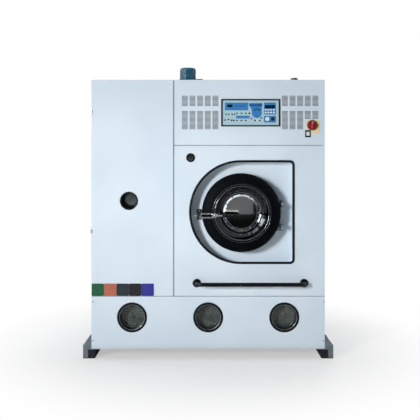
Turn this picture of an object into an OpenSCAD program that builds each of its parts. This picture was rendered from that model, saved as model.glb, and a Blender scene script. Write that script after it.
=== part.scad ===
// Closed-circuit dry cleaning machine, front loading, with a glazed drum door.
// Frame: +X to the right, +Y to the rear, +Z up. Origin on the floor, in the middle of the cabinet.

/* [Cabinet] */
// Width over the side panels
cab_w = 1600; // [1500:10:1800]
// Depth over the front and rear panels
cab_d = 1120; // [1100:10:1300]
// Height of the cabinet above its feet
cab_h = 1844; // [1840:2:1900]
// Height of the feet
foot_h = 68; // [50:2:100]
// Thickness of the sheet metal
sheet = 2; // [1.5:0.5:3]
// Depth of the returned edges of the panels
flange = 25; // [20:1:35]
// Width of the service door on the left
service_w = 561; // [540:1:570]
// Height of the upper panel with the controls
upper_h = 447; // [430:1:460]
// Height of the lower panel with the tank windows
lower_h = 358; // [350:1:370]
// Width of the upright seam beside the service door
seam_v = 6; // [4:0.5:8]
// Width of the level seams between the panels
seam_h = 4; // [3:0.5:6]

/* [Frame] */
// Side of the square tube of the posts and rails
tube = 40; // [30:2:50]
// Height of the base rails
base_h = 80; // [70:2:90]
// Root gap left for the weld at the end of each bar
weld_gap = 0.3; // [0.2:0.1:0.5]
// Clearance between pieces that seat on each other
fit = 0.3; // [0.2:0.1:0.5]
// Seam between the front panels and the side panels
side_seam = 0.8; // [0.5:0.1:0.9]

/* [Feet] */
// How far a foot stands out of the side
foot_out = 59; // [50:1:70]
// Width of the closed end of a foot
foot_face_w = 35; // [30:1:45]
// Height of the closed end of a foot
foot_face_h = 92; // [86:1:110]
// Height of the tip of the gusset on the side panel
gusset_h = 152; // [130:1:170]
// Length of a foot from front to rear
foot_len = 240; // [200:5:300]
// Thickness of the plate of a foot
foot_plate = 6; // [5:0.5:8]
// Diameter of the floor anchor hole
anchor_d = 14; // [10:1:18]
// Width of the rubber pad under the frame
pad_w = 46; // [36:1:50]

/* [Loading door] */
// Door axis, right of the middle
door_x = 228; // [220:1:236]
// Height of the door axis
door_z = 1001; // [990:1:1010]
// Outer diameter of the black door ring
ring_d = 542; // [520:2:560]
// Diameter of the opening in the black ring
ring_open_d = 364; // [350:2:370]
// Radius of the rounded front of the ring
ring_round = 75; // [70:1:80]
// Wall of the cast ring
ring_wall = 6; // [4:0.5:8]
// From the panel face back to the root of the rounding
ring_root = 8; // [5:1:12]
// Depth of the straight rim behind the rounding
ring_rim = 30; // [25:1:30]
// Inner diameter of the clamp ring, and what shows of the glass
clamp_in_d = 214; // [200:2:220]
// Outer diameter of the clamp ring
clamp_out_d = 262; // [256:2:270]
// Thickness of the clamp ring
clamp_t = 6; // [4:0.5:8]
// Diameter of the circle of clamp bolts
clamp_pcd = 242; // [240:1:246]
// Number of clamp bolts
clamp_bolts = 12; // [8:1:16]
// Diameter of the glass
glass_d = 230; // [226:1:232]
// Thickness of the glass
glass_t = 10; // [8:1:12]
// From the panel face back to the glass
glass_set = 8; // [4:1:10]
// Wall of the steel cone
cone_t = 2.5; // [2:0.5:3]
// Opening angle of the loading door
door_swing = 125; // [90:5:125]

/* [Door recess] */
// Radius of the round left side of the recess
recess_r = 352; // [345:1:356]
// Recess centre, left of the door axis
recess_dx = 3; // [0:1:6]
// Offset of the recess centre above the door axis
recess_dz = 4; // [0:1:8]
// From the recess centre to its straight right side
recess_right = 363; // [360:1:380]
// Radius of the right corners
recess_corner = 27; // [20:1:40]
// Depth of the recess
recess_depth = 60; // [56:1:60]
// Width of the rubber edge trim
trim_w = 13; // [10:1:16]
// How far the rubber trim stands proud of the panel
trim_proud = 5; // [3:0.5:7]

/* [Latch] */
// Lever pivot, left of the door axis
latch_dx = 182; // [181:1:183]
// Lever pivot, below the door axis
latch_dz = 15; // [10:1:20]
// Length from the pivot to the tip in the keeper
latch_reach = 105; // [104:1:107]
// Height over both rails of the lever
latch_rails_h = 34; // [28:1:38]
// Thickness of a rail
rail_t = 8; // [6:1:9]
// Length of the ribbed grip
grip_len = 124; // [100:2:130]
// Diameter of the ribbed grip
grip_d = 29; // [26:1:32]
// Number of ribs on the grip
grip_ribs = 5; // [3:1:7]
// Distance from the pivot to the grip
grip_from = 48; // [40:1:56]
// Turn of the lever when the grip is pressed down
latch_swing = 25; // [15:1:25]
// Diameter of the interlock pin
lock_d = 8; // [6:1:10]
// Travel of the interlock pin
lock_travel = 14; // [10:1:14]

/* [Door hinge] */
// Gap between the rim of the ring and the hinge axis
hinge_gap = 11; // [11:1:14]
// Hinge axis in front of the panel face
hinge_front = 5; // [4:1:8]
// Middle of the hinges, below the door axis
hinge_drop = 23; // [15:1:30]
// Hinge spacing, centre to centre
hinge_span = 155; // [140:5:180]
// Thickness of a hinge lug
lug_t = 12; // [10:1:14]
// Height of a hinge knuckle on the door
knuckle_t = 18; // [14:1:22]
// Diameter of the hinge pins
hinge_pin_d = 9; // [8:0.5:10]
// Radial clearance of a pin or shaft in its bore
run_fit = 0.05; // [0.02:0.01:0.1]

/* [Drum] */
// Inside diameter of the drum
drum_d = 800; // [760:10:810]
// Depth of the drum
drum_depth = 415; // [390:5:420]
// Wall of the drum
drum_t = 3; // [2:0.5:4]
// Number of lifting ribs in the drum
lifters = 3; // [3:1:4]
// Height of a lifting rib
lifter_h = 80; // [60:5:100]
// Gap between the drum and the tub
drum_gap = 32; // [25:1:36]
// Wall of the tub
tub_t = 4; // [3:0.5:5]
// Diameter of the loading mouth
mouth_d = 430; // [410:5:440]
// Diameter of the drum shaft
shaft_d = 60; // [50:2:70]
// Diameter of the drum pulley
drum_pulley_d = 440; // [400:10:460]
// Diameter of the motor pulley
motor_pulley_d = 80; // [70:2:100]
// Width of the drive belt
belt_w = 36; // [30:2:40]
// Thickness of the drive belt
belt_t = 6; // [5:0.5:8]

/* [Windows] */
// Diameter over the rubber rings of the tank windows
port_d = 206; // [200:1:216]
// Diameter of the clear opening of a tank window
port_open_d = 176; // [170:1:184]
// Height of the tank windows
port_z = 283; // [276:1:290]
// Distance between the tank windows
port_pitch = 522; // [500:1:524]
// From the panel face back to the tank glass
port_set = 62; // [60:1:70]
// Diameter over the rubber ring in the service door
service_port_d = 125; // [120:1:135]
// Still window, left of the middle
still_x = 543; // [530:1:550]
// Height of the still window
still_window_z = 1082; // [1070:1:1090]
// From the panel face back to the still glass
still_set = 113; // [110:1:120]
// Diameter over the rubber ring of the flow window
flow_d = 62; // [58:1:70]
// Flow window, left of the middle
flow_x = 120; // [116:1:124]
// Height of the flow window
flow_z = 1378; // [1370:1:1384]

/* [Handrail] */
// Distance between the rosettes
rail_w = 735; // [700:5:760]
// Place of the middle of the handrail
rail_x = 290; // [280:1:300]
// Height of the handrail
rail_z = 518; // [510:1:530]
// Diameter of the handrail tube
rail_d = 27.5; // [24:0.5:30]
// Distance from the panel to the middle of the tube
rail_out = 64; // [56:1:80]
// Bend radius of the handrail
rail_bend = 34; // [30:1:40]
// Diameter of the rosettes
rosette_d = 59; // [54:1:66]

/* [Controls] */
// Left side of the control frame
bezel_x = 89; // [84:1:94]
// Width of the control frame
bezel_w = 404; // [390:1:410]
// Top of the control frame below the top of the cabinet
bezel_drop = 132; // [125:1:140]
// Height of the control frame
bezel_h = 188; // [180:1:196]
// Width of the black border
bezel_border = 9; // [7:1:12]
// Diameter of the white start button
start_d = 29; // [26:1:32]
// Diameter of the stop button
stop_d = 25; // [22:1:28]
// Travel of the push buttons
button_travel = 3; // [2:0.5:4]
// Width of a membrane key
key_w = 13; // [11:1:15]
// Height of a membrane key
key_h = 10; // [8:1:12]
// Diameter of the main switch knob
knob_d = 62; // [56:1:68]
// Thickness of the main switch knob
knob_t = 16; // [12:1:20]

/* [Vents] */
// Length of a vent slot
slot_w = 40.5; // [38:0.5:42]
// Height of a vent slot
slot_h = 4; // [3:0.5:5]
// Pitch of the slots
slot_pitch = 8; // [7:0.5:10]
// Pitch of the columns of slots
vent_pitch = 52.3; // [50:0.1:54]
// Slots in the upper block of each column
vent_rows_top = 9; // [6:1:10]
// Slots in the lower block of each column
vent_rows_low = 16; // [12:1:17]
// Slots in the short block above the main switch
vent_rows_short = 7; // [4:1:8]
// Columns of slots on each side of the controls
vent_cols = 5; // [4:1:5]

/* [Chimney] */
// Diameter of the exhaust chimney
chimney_d = 121; // [100:1:130]
// Height of the chimney above the top panel
chimney_h = 124; // [110:1:160]
// Place of the chimney from the middle, to the left
chimney_x = 147; // [140:1:155]
// Distance of the chimney behind the front
chimney_set = 300; // [280:5:340]
// Height of the collar at the foot of the chimney
collar_h = 40; // [30:1:50]

/* [Connections] */
// Outer diameter of the water connections
water_d = 26.4; // [20:0.2:34]
// Length of the connections behind the rear panel
stub_len = 100; // [80:5:110]
// Bore of the cable gland
gland_bore_d = 18; // [14:1:20]

/* [Tiles] */
// Side of a colour tile
tile = 84; // [80:1:88]
// Pitch of the colour tiles
tile_pitch = 85.5; // [85:0.5:90]
// Number of colour tiles
tiles = 5; // [3:1:6]

/* [Hidden] */
$fn = 72;
eps = 1;

panel_white = "#d7e6ef";
rubber_black = "#14181d";
bright_steel = "#c9cdd0";
frame_grey = "#6d7680";

// Cabinet faces and seams
front_y = -cab_d / 2;
back_y = cab_d / 2;
left_x = -cab_w / 2;
right_x = cab_w / 2;
cab_z0 = foot_h;
cab_z1 = foot_h + cab_h;
seam_x0 = left_x + service_w;
seam_x1 = seam_x0 + seam_v;
lower_z1 = cab_z0 + lower_h;
mid_z0 = lower_z1 + seam_h;
upper_z0 = cab_z1 - upper_h;
mid_z1 = upper_z0 - seam_h;
side_y0 = front_y + flange + side_seam;
side_y1 = back_y - flange - side_seam;

// Frame
side_return = 15;
frame_x = right_x - side_return - side_seam;
frame_y0 = front_y + flange + fit;
frame_y1 = -frame_y0;
base_z1 = cab_z0 + base_h;
top_rail_z1 = cab_z1 - sheet - fit;
mid_rail_z = lower_z1 + seam_h / 2 + tube / 2;
upper_rail_z = upper_z0 - (seam_h + tube) / 2;
centre_post_x = (seam_x0 + seam_x1) / 2;
beam_z0 = mid_rail_z + weld_gap;
beam_z1 = beam_z0 + tube;
shelf_z = 1290;
shelf_t = 3;
tray_t = 3;
tray_z1 = base_z1 + fit + tray_t;

// Door recess
recess_x = door_x - recess_dx;
recess_z = door_z + recess_dz;
recess_floor_y = front_y + recess_depth;
wall_gap = 1;

// Loading door, from the panel face backwards
ring_r = ring_d / 2;
ring_open_r = ring_open_d / 2;
ring_front_y = front_y + ring_root - ring_round;
ring_back_y = front_y + ring_root + ring_rim;
glass_y0 = front_y + glass_set;
glass_y1 = glass_y0 + glass_t;
clamp_y0 = glass_y0 - clamp_t - fit;
cone_flange_t = 3;
cone_back_y = glass_y1 + fit + cone_flange_t;
clamp_in_r = clamp_in_d / 2;
clamp_out_r = clamp_out_d / 2;
glass_r = glass_d / 2;
cone_small_r = clamp_out_r + 2;
door_plate_in_r = cone_small_r + fit;
collar_lip = 10;
gasket_in_r = 205;
gasket_out_r = 232;

// Hinge of the loading door
hinge_x = door_x + ring_r + hinge_gap;
hinge_y = front_y - hinge_front;
hinge_z = door_z - hinge_drop;
barrel_r = 9;
hinge_pin_r = hinge_pin_d / 2;
arm_t = 8;
arm_y0 = ring_back_y + fit;
arm_y1 = arm_y0 + arm_t;
hinge_pads_x0 = door_x + 234;

// Latch
latch_x = door_x - latch_dx;
latch_z = door_z - latch_dz;
boss_h = 11;
lever_y1 = ring_front_y - boss_h;
lever_t = 12;
lever_y0 = lever_y1 - lever_t;
lever_mid_y = (lever_y0 + lever_y1) / 2;
lever_tip_x = latch_x - latch_reach;
lever_rod_r = 4.5;
hub_r = 15;
keeper_x1 = lever_tip_x - 3;
keeper_x0 = keeper_x1 - 14;
keeper_in_x = door_x - ring_r - 4.5;
lock_y = lever_y0 - fit - lock_d / 2 - 1;
keeper_y0 = lock_y - lock_d / 2 - 3;

// Drum, tub and drive
drum_r = drum_d / 2;
tub_in_r = drum_r + drum_t + drum_gap;
tub_out_r = tub_in_r + tub_t;
mouth_r = mouth_d / 2;
tub_y0 = recess_floor_y + 30;
tub_y1 = tub_y0 + drum_depth + 65;
drum_y0 = tub_y0 + tub_t + 20;
drum_y1 = drum_y0 + drum_depth;
shaft_r = shaft_d / 2;
housing_y1 = tub_y1 + 180;
pulley_y0 = housing_y1 + 30;
pulley_y1 = pulley_y0 + belt_w + 6;
drum_pulley_r = drum_pulley_d / 2;
motor_pulley_r = motor_pulley_d / 2;
motor_dx = 392;
motor_r = 85;
motor_x = door_x + motor_dx;
motor_z = beam_z1 + fit + motor_r + 15;
motor_y0 = tub_y1 - 60;
motor_y1 = housing_y1 + 10;
motor_shaft_r = 14;
saddle_dx = 250;

// Tanks
tank_x = frame_x - tube - tray_t - 2;
tank_y0 = front_y + port_set + 8;
tank_y1 = tank_y0 + 430;
tank_z0 = tray_z1 + fit;
tank_z1 = mid_rail_z - tube - 6;
tank_t = 3;
window_r = 78;
window_rim = 19;

// Still, filter, condenser and pump
still_r = 150;
still_y = front_y + still_set + 60 + still_r;
still_z0 = 640;
still_z1 = shelf_z - 110;
still_tube_r = 46;
vapour_r = 38;
condenser_r = 85;
condenser_y = 180;
condenser_z = shelf_z + shelf_t + 140;
filter_r = 105;
filter_h = 380;
filter_x = -620;
filter_y = front_y + 170;
pump_x = filter_x + 53;
pump_y = 180;
pump_z = tray_z1 + fit + 95;
pump_half = 130;
pump_nose = 40;
pump_rise = 130;
pipe_r = 14;
pipe_wall = 2;
feed_z = shelf_z - 30;

// Fan and chimney
chimney_y = front_y + chimney_set;
chimney_r = chimney_d / 2;
fan_r = 100;
scroll_r = 118;
scroll_step = 9;
fan_depth = 100;
fan_y0 = chimney_y - fan_depth / 2;
fan_y1 = chimney_y + fan_depth / 2;
outlet_w = 90;
fan_x = -chimney_x + scroll_r + 3 * scroll_step - outlet_w / 2;
fan_z = cab_z1 - 245;
fan_shaft_r = 8;

// Controls
bezel_z1 = cab_z1 - bezel_drop;
bezel_z0 = bezel_z1 - bezel_h;
bezel_cx = bezel_x + bezel_w / 2;
bezel_cz = (bezel_z0 + bezel_z1) / 2;
bezel_proud = 6;
plate_x0 = bezel_x + bezel_border + fit;
plate_x1 = bezel_x + bezel_w - bezel_border - fit;
plate_z0 = bezel_z0 + bezel_border + fit;
plate_z1 = bezel_z1 - bezel_border - fit;
plate_y = front_y - 1;
plate_t = 3;
housing_depth = 70;
start_x = plate_x1 - 78;
stop_x = plate_x1 - 41;
push_z = plate_z0 + 42;
push_proud = 6;
push_depth = 18;
knob_x = right_x - 86;
knob_z = cab_z1 - 311;
switch_w = 88;
switch_h = 94;

// Service door and its hinges
service_flange = flange - 3;
hinge_knuckle_r = 7;
service_axis_x = left_x - 1;
service_axis_y = front_y + hinge_knuckle_r;
knuckle_h = 25;
knuckle_gap = 0.5;
service_pin_r = 3.5;
service_hinge_z = [cab_z1 - 207, cab_z1 - 1027];

// Screws on the lower panel
screw_r = 4.5;
screw_head = 2.5;
screw_inset_x = 9;
screw_inset_z = [36, 55];

// ---------- helpers ----------

// A disc or ring along Y, from y0 to y1
module y_disc(x, z, r, y0, y1, hole = 0) {
  translate([x, y0, z]) rotate([-90, 0, 0]) difference() {
    cylinder(r=r, h=y1 - y0);
    if (hole > 0)
      translate([0, 0, -eps]) cylinder(r=hole, h=y1 - y0 + 2 * eps);
  }
}

// A turned shape about a Y axis: the profile's second coordinate is the place along Y
module y_turn(x, z) {
  translate([x, 0, z]) rotate([-90, 0, 0]) rotate_extrude() children();
}

// A round hole through the front sheet
module face_hole(x, z, r) {
  y_disc(x, z, r, front_y - eps, front_y + sheet + eps);
}

// An outline drawn in X and Z, given a thickness from y0 to y1
module xz_plate(y0, y1) {
  translate([0, y1, 0]) rotate([90, 0, 0]) linear_extrude(y1 - y0) children();
}

// An outline drawn in Y and Z, given a thickness from x0 to x1
module yz_plate(x0, x1) {
  translate([x0, 0, 0]) rotate([90, 0, 90]) linear_extrude(x1 - x0) children();
}

// A box given by two corners
module block(a, b) {
  translate(a) cube(b - a);
}

// A sheet pan that faces the front: a face and four returned edges
module front_pan(x0, x1, z0, z1, depth) {
  difference() {
    block([x0, front_y, z0], [x1, front_y + depth, z1]);
    block([x0 + sheet, front_y + sheet, z0 + sheet], [x1 - sheet, front_y + depth + eps, z1 - sheet]);
  }
}

// The outline of the door recess: round on the left, square on the right
module recess_outline(grow) {
  r = recess_r + grow;
  right = recess_right + grow;
  corner = recess_corner + grow;
  translate([recess_x, recess_z]) {
    intersection() {
      circle(r, $fn=180);
      translate([-r - eps, -r]) square([r + 2 * eps, 2 * r]);
    }
    translate([0, -r]) square([right - corner, 2 * r]);
    translate([0, -r + corner]) square([right, 2 * (r - corner)]);
    for (side = [-1, 1])
      translate([right - corner, side * (r - corner)]) circle(corner);
  }
}

function port_x(i) = (i - 1) * port_pitch;

// ---------- cabinet ----------

// A bar of the welded frame, between two corners, with a root gap at the ends of one axis
module bar(a, b, along) {
  gap = [for (i = [0:2]) i == along ? weld_gap : 0];
  block(a + gap, b - gap);
}

module frame() {
  color(frame_grey) {
    // base rails and cross members
    for (s = [-1, 1]) {
      y_in = s > 0 ? frame_y1 - tube : frame_y0;
      block([-frame_x, y_in, cab_z0], [frame_x, y_in + tube, base_z1]);
      x_in = s > 0 ? frame_x - tube : -frame_x;
      bar([x_in, frame_y0 + tube, cab_z0], [x_in + tube, frame_y1 - tube, base_z1], 1);
      // top rails
      block([-frame_x, y_in, top_rail_z1 - tube], [frame_x, y_in + tube, top_rail_z1]);
      bar([x_in, frame_y0 + tube, top_rail_z1 - tube], [x_in + tube, frame_y1 - tube, top_rail_z1], 1);
      // posts
      for (x = [-frame_x, centre_post_x - tube / 2, frame_x - tube])
        bar([x, y_in, base_z1], [x + tube, y_in + tube, top_rail_z1 - tube], 2);
      // middle rails at the lower seam, and the rail at the upper seam
      for (span = [[-frame_x + tube, centre_post_x - tube / 2], [centre_post_x + tube / 2, frame_x - tube]])
        bar([span[0], y_in, mid_rail_z - tube], [span[1], y_in + tube, mid_rail_z], 0);
      bar(
        [centre_post_x + tube / 2, y_in, upper_rail_z],
        [frame_x - tube, y_in + tube, upper_rail_z + tube],
        0
      );
    }
    bar(
      [centre_post_x - tube / 2, frame_y0 + tube, cab_z0],
      [centre_post_x + tube / 2, frame_y1 - tube, base_z1],
      1
    );
    // beams under the tub and the motor, on the middle rails
    for (x = [door_x - saddle_dx, door_x + saddle_dx, motor_x])
      block([x - tube / 2, frame_y0, beam_z0], [x + tube / 2, frame_y1, beam_z1]);
    solvent_tray();
    filter_shelf();
  }
}

// Safety tray on the base rails, under the tanks and the pump
module solvent_tray() {
  z0 = base_z1 + fit;
  x = frame_x - tube - 1;
  y = frame_y1 - tube - 1;
  wall = 36;
  reach = 20;
  difference() {
    union() {
      block([-x - reach, -y - reach, z0], [x + reach, y + reach, z0 + tray_t]);
      block([-x, -y, z0], [x, y, z0 + wall]);
    }
    block([-x + tray_t, -y + tray_t, z0 + tray_t], [x - tray_t, y - tray_t, z0 + wall + eps]);
    for (sx = [-1, 1], sy = [-1, 1])
      block(
        [sx > 0 ? x - eps : -x - reach - eps, sy > 0 ? y - eps : -y - reach - eps, z0 - eps],
        [sx > 0 ? x + reach + eps : -x + eps, sy > 0 ? y + reach + eps : -y + eps, z0 + wall + eps]
      );
    for (sy = [-1, 1])
      block(
        [centre_post_x - tube / 2 - 1, sy > 0 ? y - eps : -y - reach - eps, z0 - eps],
        [centre_post_x + tube / 2 + 1, sy > 0 ? y + reach + eps : -y + eps, z0 + tray_t + eps]
      );
  }
}

// Shelf in the left bay that carries the filter and the condenser
module filter_shelf() {
  x0 = -frame_x + tube + weld_gap;
  x1 = centre_post_x + tube / 2;
  y = frame_y1 - tube - weld_gap;
  lip = 30;
  difference() {
    union() {
      block([x0, -y, shelf_z], [x1, y, shelf_z + shelf_t]);
      block([x0, -y, shelf_z - lip], [x1, -y + shelf_t, shelf_z + eps]);
      block([x0, y - shelf_t, shelf_z - lip], [x1, y, shelf_z + eps]);
    }
    translate([-still_x, still_y, shelf_z - eps]) cylinder(r=vapour_r + 12, h=shelf_t + 2 * eps);
    translate([filter_x, filter_y, shelf_z - eps]) cylinder(r=pipe_r + 8, h=shelf_t + 2 * eps);
  }
}

// One foot: a channel open at the top, with gusseted ends and an arm under the base rail
module foot(side, y0) {
  outer = right_x + foot_out;
  inner = outer - foot_face_w;
  arm_in = frame_x - tube;
  arm_z0 = foot_h - foot_plate;
  end_outline = [
    [inner, 0], [outer, 0], [outer, foot_face_h], [right_x + fit, gusset_h],
    [right_x + fit, arm_z0], [inner, arm_z0]
  ];
  mirror([side > 0 ? 0 : 1, 0, 0]) difference() {
    union() {
      for (y = [y0, y0 + foot_len - foot_plate])
        xz_plate(y, y + foot_plate) polygon(end_outline);
      block([outer - foot_plate, y0, 0], [outer, y0 + foot_len, foot_face_h]);
      block([inner, y0, 0], [outer, y0 + foot_len, foot_plate]);
      block([arm_in, y0, arm_z0], [right_x + 2 * foot_plate, y0 + foot_len, foot_h]);
    }
    translate([anchor_x(), y0 + foot_len / 2, -eps]) cylinder(d=anchor_d, h=foot_plate + 2 * eps);
  }
}

function anchor_x() = right_x + foot_out - (foot_face_w + foot_plate) / 2;
function foot_y(end) = end > 0 ? -front_foot_y0 - foot_len : front_foot_y0;
front_foot_y0 = front_y + 4;

module feet() {
  color("#7d868e")
    for (side = [-1, 1], end = [-1, 1])
      foot(side, foot_y(end));
}

module foot_pads() {
  inner = right_x + foot_out - foot_face_w - fit;
  color(rubber_black)
    for (side = [-1, 1], end = [-1, 1])
      mirror([side > 0 ? 0 : 1, 0, 0]) block(
        [inner - pad_w, foot_y(end) + 2, 0],
        [inner, foot_y(end) + foot_len - 2, foot_h - foot_plate - fit]
      );
}

module side_panel(side) {
  outer = right_x;
  rib_n = 14;
  rib_pitch = 22;
  rib_w = 260;
  mirror([side > 0 ? 0 : 1, 0, 0]) difference() {
    union() {
      block([outer - sheet, side_y0, cab_z0], [outer, side_y1, cab_z1]);
      block([outer - side_return, side_y0, cab_z0], [outer, side_y0 + sheet, top_rail_z1 - fit]);
      block([outer - side_return, side_y1 - sheet, cab_z0], [outer, side_y1, top_rail_z1 - fit]);
    }
    // cooling slots low on the side, at the rear
    for (i = [0:rib_n - 1])
      block(
        [outer - sheet - eps, side_y1 - 120 - rib_w, cab_z0 + 180 + i * rib_pitch],
        [outer + eps, side_y1 - 120, cab_z0 + 180 + i * rib_pitch + 6]
      );
  }
}

module side_panel_left() {
  color(panel_white) side_panel(-1);
}

module side_panel_right() {
  color(panel_white) side_panel(1);
}

module top_panel() {
  x = right_x - sheet - fit;
  color(panel_white) difference() {
    block([-x, side_y0, cab_z1 - sheet], [x, side_y1, cab_z1]);
    translate([-chimney_x, chimney_y, cab_z1 - sheet - eps])
      cylinder(r=chimney_r - 6, h=sheet + 2 * eps);
    translate([vent_x, vent_y, cab_z1 - sheet - eps]) cylinder(r=vent_r - 6, h=sheet + 2 * eps);
  }
}

// Rear panel: a pan with louvred fields and holes for the connections
module rear_panel() {
  cols = 3;
  rows = 16;
  louvre_w = 260;
  louvre_h = 8;
  louvre_pitch = 24;
  col_pitch = 330;
  louvre_z = cab_z1 - 812;
  color(panel_white) difference() {
    rotate([0, 0, 180]) front_pan(left_x, right_x, cab_z0, cab_z1, flange);
    for (c = [0:cols - 1], r = [0:rows - 1])
      block(
        [(c - 1) * col_pitch + 120 - louvre_w / 2, back_y - sheet - eps, louvre_z + r * louvre_pitch],
        [(c - 1) * col_pitch + 120 + louvre_w / 2, back_y + eps, louvre_z + r * louvre_pitch + louvre_h]
      );
    for (c = connections)
      y_disc(c[0], c[1], c[2] + fit, back_y - sheet - eps, back_y + eps);
  }
}

// Slots in one block of a vent column, listed from the top
module vent_block(x, z_top, rows, y0, y1) {
  for (i = [0:rows - 1])
    block([x, y0, z_top - slot_h - i * slot_pitch], [x + slot_w, y1, z_top - i * slot_pitch]);
}

vent_z_top = cab_z1 - 110;
vent_z_low = cab_z1 - 214;
vent_left_x = seam_x1 + 53;
vent_right_x = bezel_x + bezel_w + 13;

// The sheet metal face over the controls, with its two fields of cooling slots
module upper_panel() {
  y0 = front_y - eps;
  y1 = front_y + sheet + eps;
  color(panel_white) difference() {
    front_pan(seam_x1, right_x, upper_z0, cab_z1, flange);
    block([plate_x0 - 2, y0, plate_z0 - 2], [plate_x1 + 2, y1, plate_z1 + 2]);
    for (c = [0:vent_cols - 1]) {
      vent_block(vent_left_x + c * vent_pitch, vent_z_top, vent_rows_top, y0, y1);
      vent_block(vent_left_x + c * vent_pitch, vent_z_low, vent_rows_low, y0, y1);
      vent_block(vent_right_x + c * vent_pitch, vent_z_top, vent_rows_top, y0, y1);
      vent_block(vent_right_x + c * vent_pitch, vent_z_low, c < 3 ? vent_rows_low : vent_rows_short, y0, y1);
    }
    y_disc(knob_x, knob_z, switch_shaft_r + 6, y0, y1);
  }
}

module front_panel() {
  color(panel_white) difference() {
    front_pan(seam_x1, right_x, mid_z0, mid_z1, flange);
    xz_plate(front_y - eps, front_y + sheet + eps) recess_outline(0);
    face_hole(-flow_x, flow_z, flow_d / 2 - 5);
    for (s = [-1, 1])
      face_hole(rail_x + s * rail_w / 2, rail_z, 5);
  }
}

module lower_panel() {
  color(panel_white) difference() {
    front_pan(left_x, right_x, cab_z0, lower_z1, flange);
    for (i = [0:2])
      face_hole(port_x(i), port_z, port_open_d / 2 + 4);
  }
}

// The tray behind the loading door: a wall round the outline and a floor with the drum mouth
module recess_pan() {
  color("#c9dae4") difference() {
    xz_plate(front_y + sheet + fit, recess_floor_y + sheet) recess_outline(trim_w - 3);
    xz_plate(front_y + sheet, recess_floor_y) recess_outline(-wall_gap);
    y_disc(door_x, door_z, collar_out_r + fit, recess_floor_y - eps, recess_floor_y + sheet + eps);
    // the wall is one sheet thick behind a narrow fixing flange
    xz_plate(front_y + 2 * sheet + fit, recess_floor_y + sheet + eps) difference() {
      recess_outline(trim_w);
      recess_outline(sheet - wall_gap);
    }
  }
}

module edge_ring(x, z, d, open_d) {
  groove = sheet + 2 * fit;
  r0 = open_d / 2;
  r1 = d / 2;
  y_turn(x, z) difference() {
    translate([r0, front_y - trim_proud + 1]) square([r1 - r0, trim_proud + groove + 4]);
    // slot that grips the edge of the sheet
    translate([r0 + 4 - fit, front_y - fit]) square([r1 - r0, groove]);
    // chamfer on the visible edge
    translate([r1, front_y - trim_proud + 1]) circle(3, $fn=4);
  }
}

// Black rubber edging of the recess, the tank windows and the flow window
module edge_trims() {
  color(rubber_black) {
    xz_plate(front_y - trim_proud, front_y - fit) difference() {
      recess_outline(3);
      recess_outline(3 - trim_w);
    }
    // lip that grips the wall of the recess
    xz_plate(front_y - fit - eps, front_y + 10) difference() {
      recess_outline(-wall_gap - fit);
      recess_outline(-wall_gap - 4);
    }
    for (i = [0:2])
      edge_ring(port_x(i), port_z, port_d, port_open_d);
    edge_ring(-flow_x, flow_z, flow_d, flow_d - 18);
  }
}

module screw(x, z) {
  y_disc(x, z, screw_r, front_y - screw_head, front_y - fit);
}

module panel_screws() {
  color(bright_steel) {
    for (s = [-1, 1]) {
      screw(s * (right_x - screw_inset_x), lower_z1 - screw_inset_z[0]);
      screw(s * (right_x - screw_inset_x), cab_z0 + screw_inset_z[1]);
      for (z = [cab_z0 + 60, (cab_z0 + cab_z1) / 2, cab_z1 - 60])
        y_disc(s * (right_x - 40), z, screw_r, back_y + fit, back_y + screw_head);
    }
  }
}

// ---------- windows and tanks ----------

module solvent_tanks() {
  x_walls = [-port_pitch / 2, port_pitch / 2];
  color("#9aa3a8") difference() {
    block([-tank_x, tank_y0, tank_z0], [tank_x, tank_y1, tank_z1]);
    for (i = [0:2]) {
      x0 = i == 0 ? -tank_x + tank_t : x_walls[i - 1] + tank_t / 2;
      x1 = i == 2 ? tank_x - tank_t : x_walls[i] - tank_t / 2;
      block([x0, tank_y0 + tank_t, tank_z0 + tank_t], [x1, tank_y1 - tank_t, tank_z1 - tank_t]);
      y_disc(port_x(i), port_z, window_r, tank_y0 - eps, tank_y0 + tank_t + eps);
    }
  }
}

// A bolted window flange: a stepped ring that holds its glass against the vessel
module window_flange(x, z, r, rim, y_back, depth) {
  bolts = 8;
  glass_recess = 5;
  y_turn(x, z) difference() {
    translate([r, y_back - depth]) square([rim, depth]);
    translate([r - eps, y_back - 7]) square([glass_recess + eps, 7 + eps]);
    translate([r, y_back - depth]) circle(4, $fn=4);
  }
  for (i = [0:bolts - 1])
    y_disc(
      x + (r + rim * 0.62) * cos(i * 360 / bolts),
      z + (r + rim * 0.62) * sin(i * 360 / bolts),
      rim * 0.2,
      y_back - depth - 4,
      y_back - depth + eps
    );
}

module window_flanges() {
  color(bright_steel) {
    for (i = [0:2])
      window_flange(port_x(i), port_z, window_r, window_rim, tank_y0 - fit, 12);
    window_flange(-still_x, still_window_z, 33, 13, front_y + still_set - fit, 10);
    window_flange(-flow_x, flow_z, 15, 11, flow_y0 - fit, 9);
  }
}

module window_glasses() {
  color("#4d5a58") {
    for (i = [0:2])
      y_disc(port_x(i), port_z, window_r + 5 - fit, tank_y0 - 7, tank_y0 - 2 * fit);
    y_disc(-still_x, still_window_z, 33 + 5 - fit, front_y + still_set - 7, front_y + still_set - 2 * fit);
    y_disc(-flow_x, flow_z, 15 + 5 - fit, flow_y0 - 7, flow_y0 - 2 * fit);
  }
}

// ---------- front fittings ----------

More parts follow.
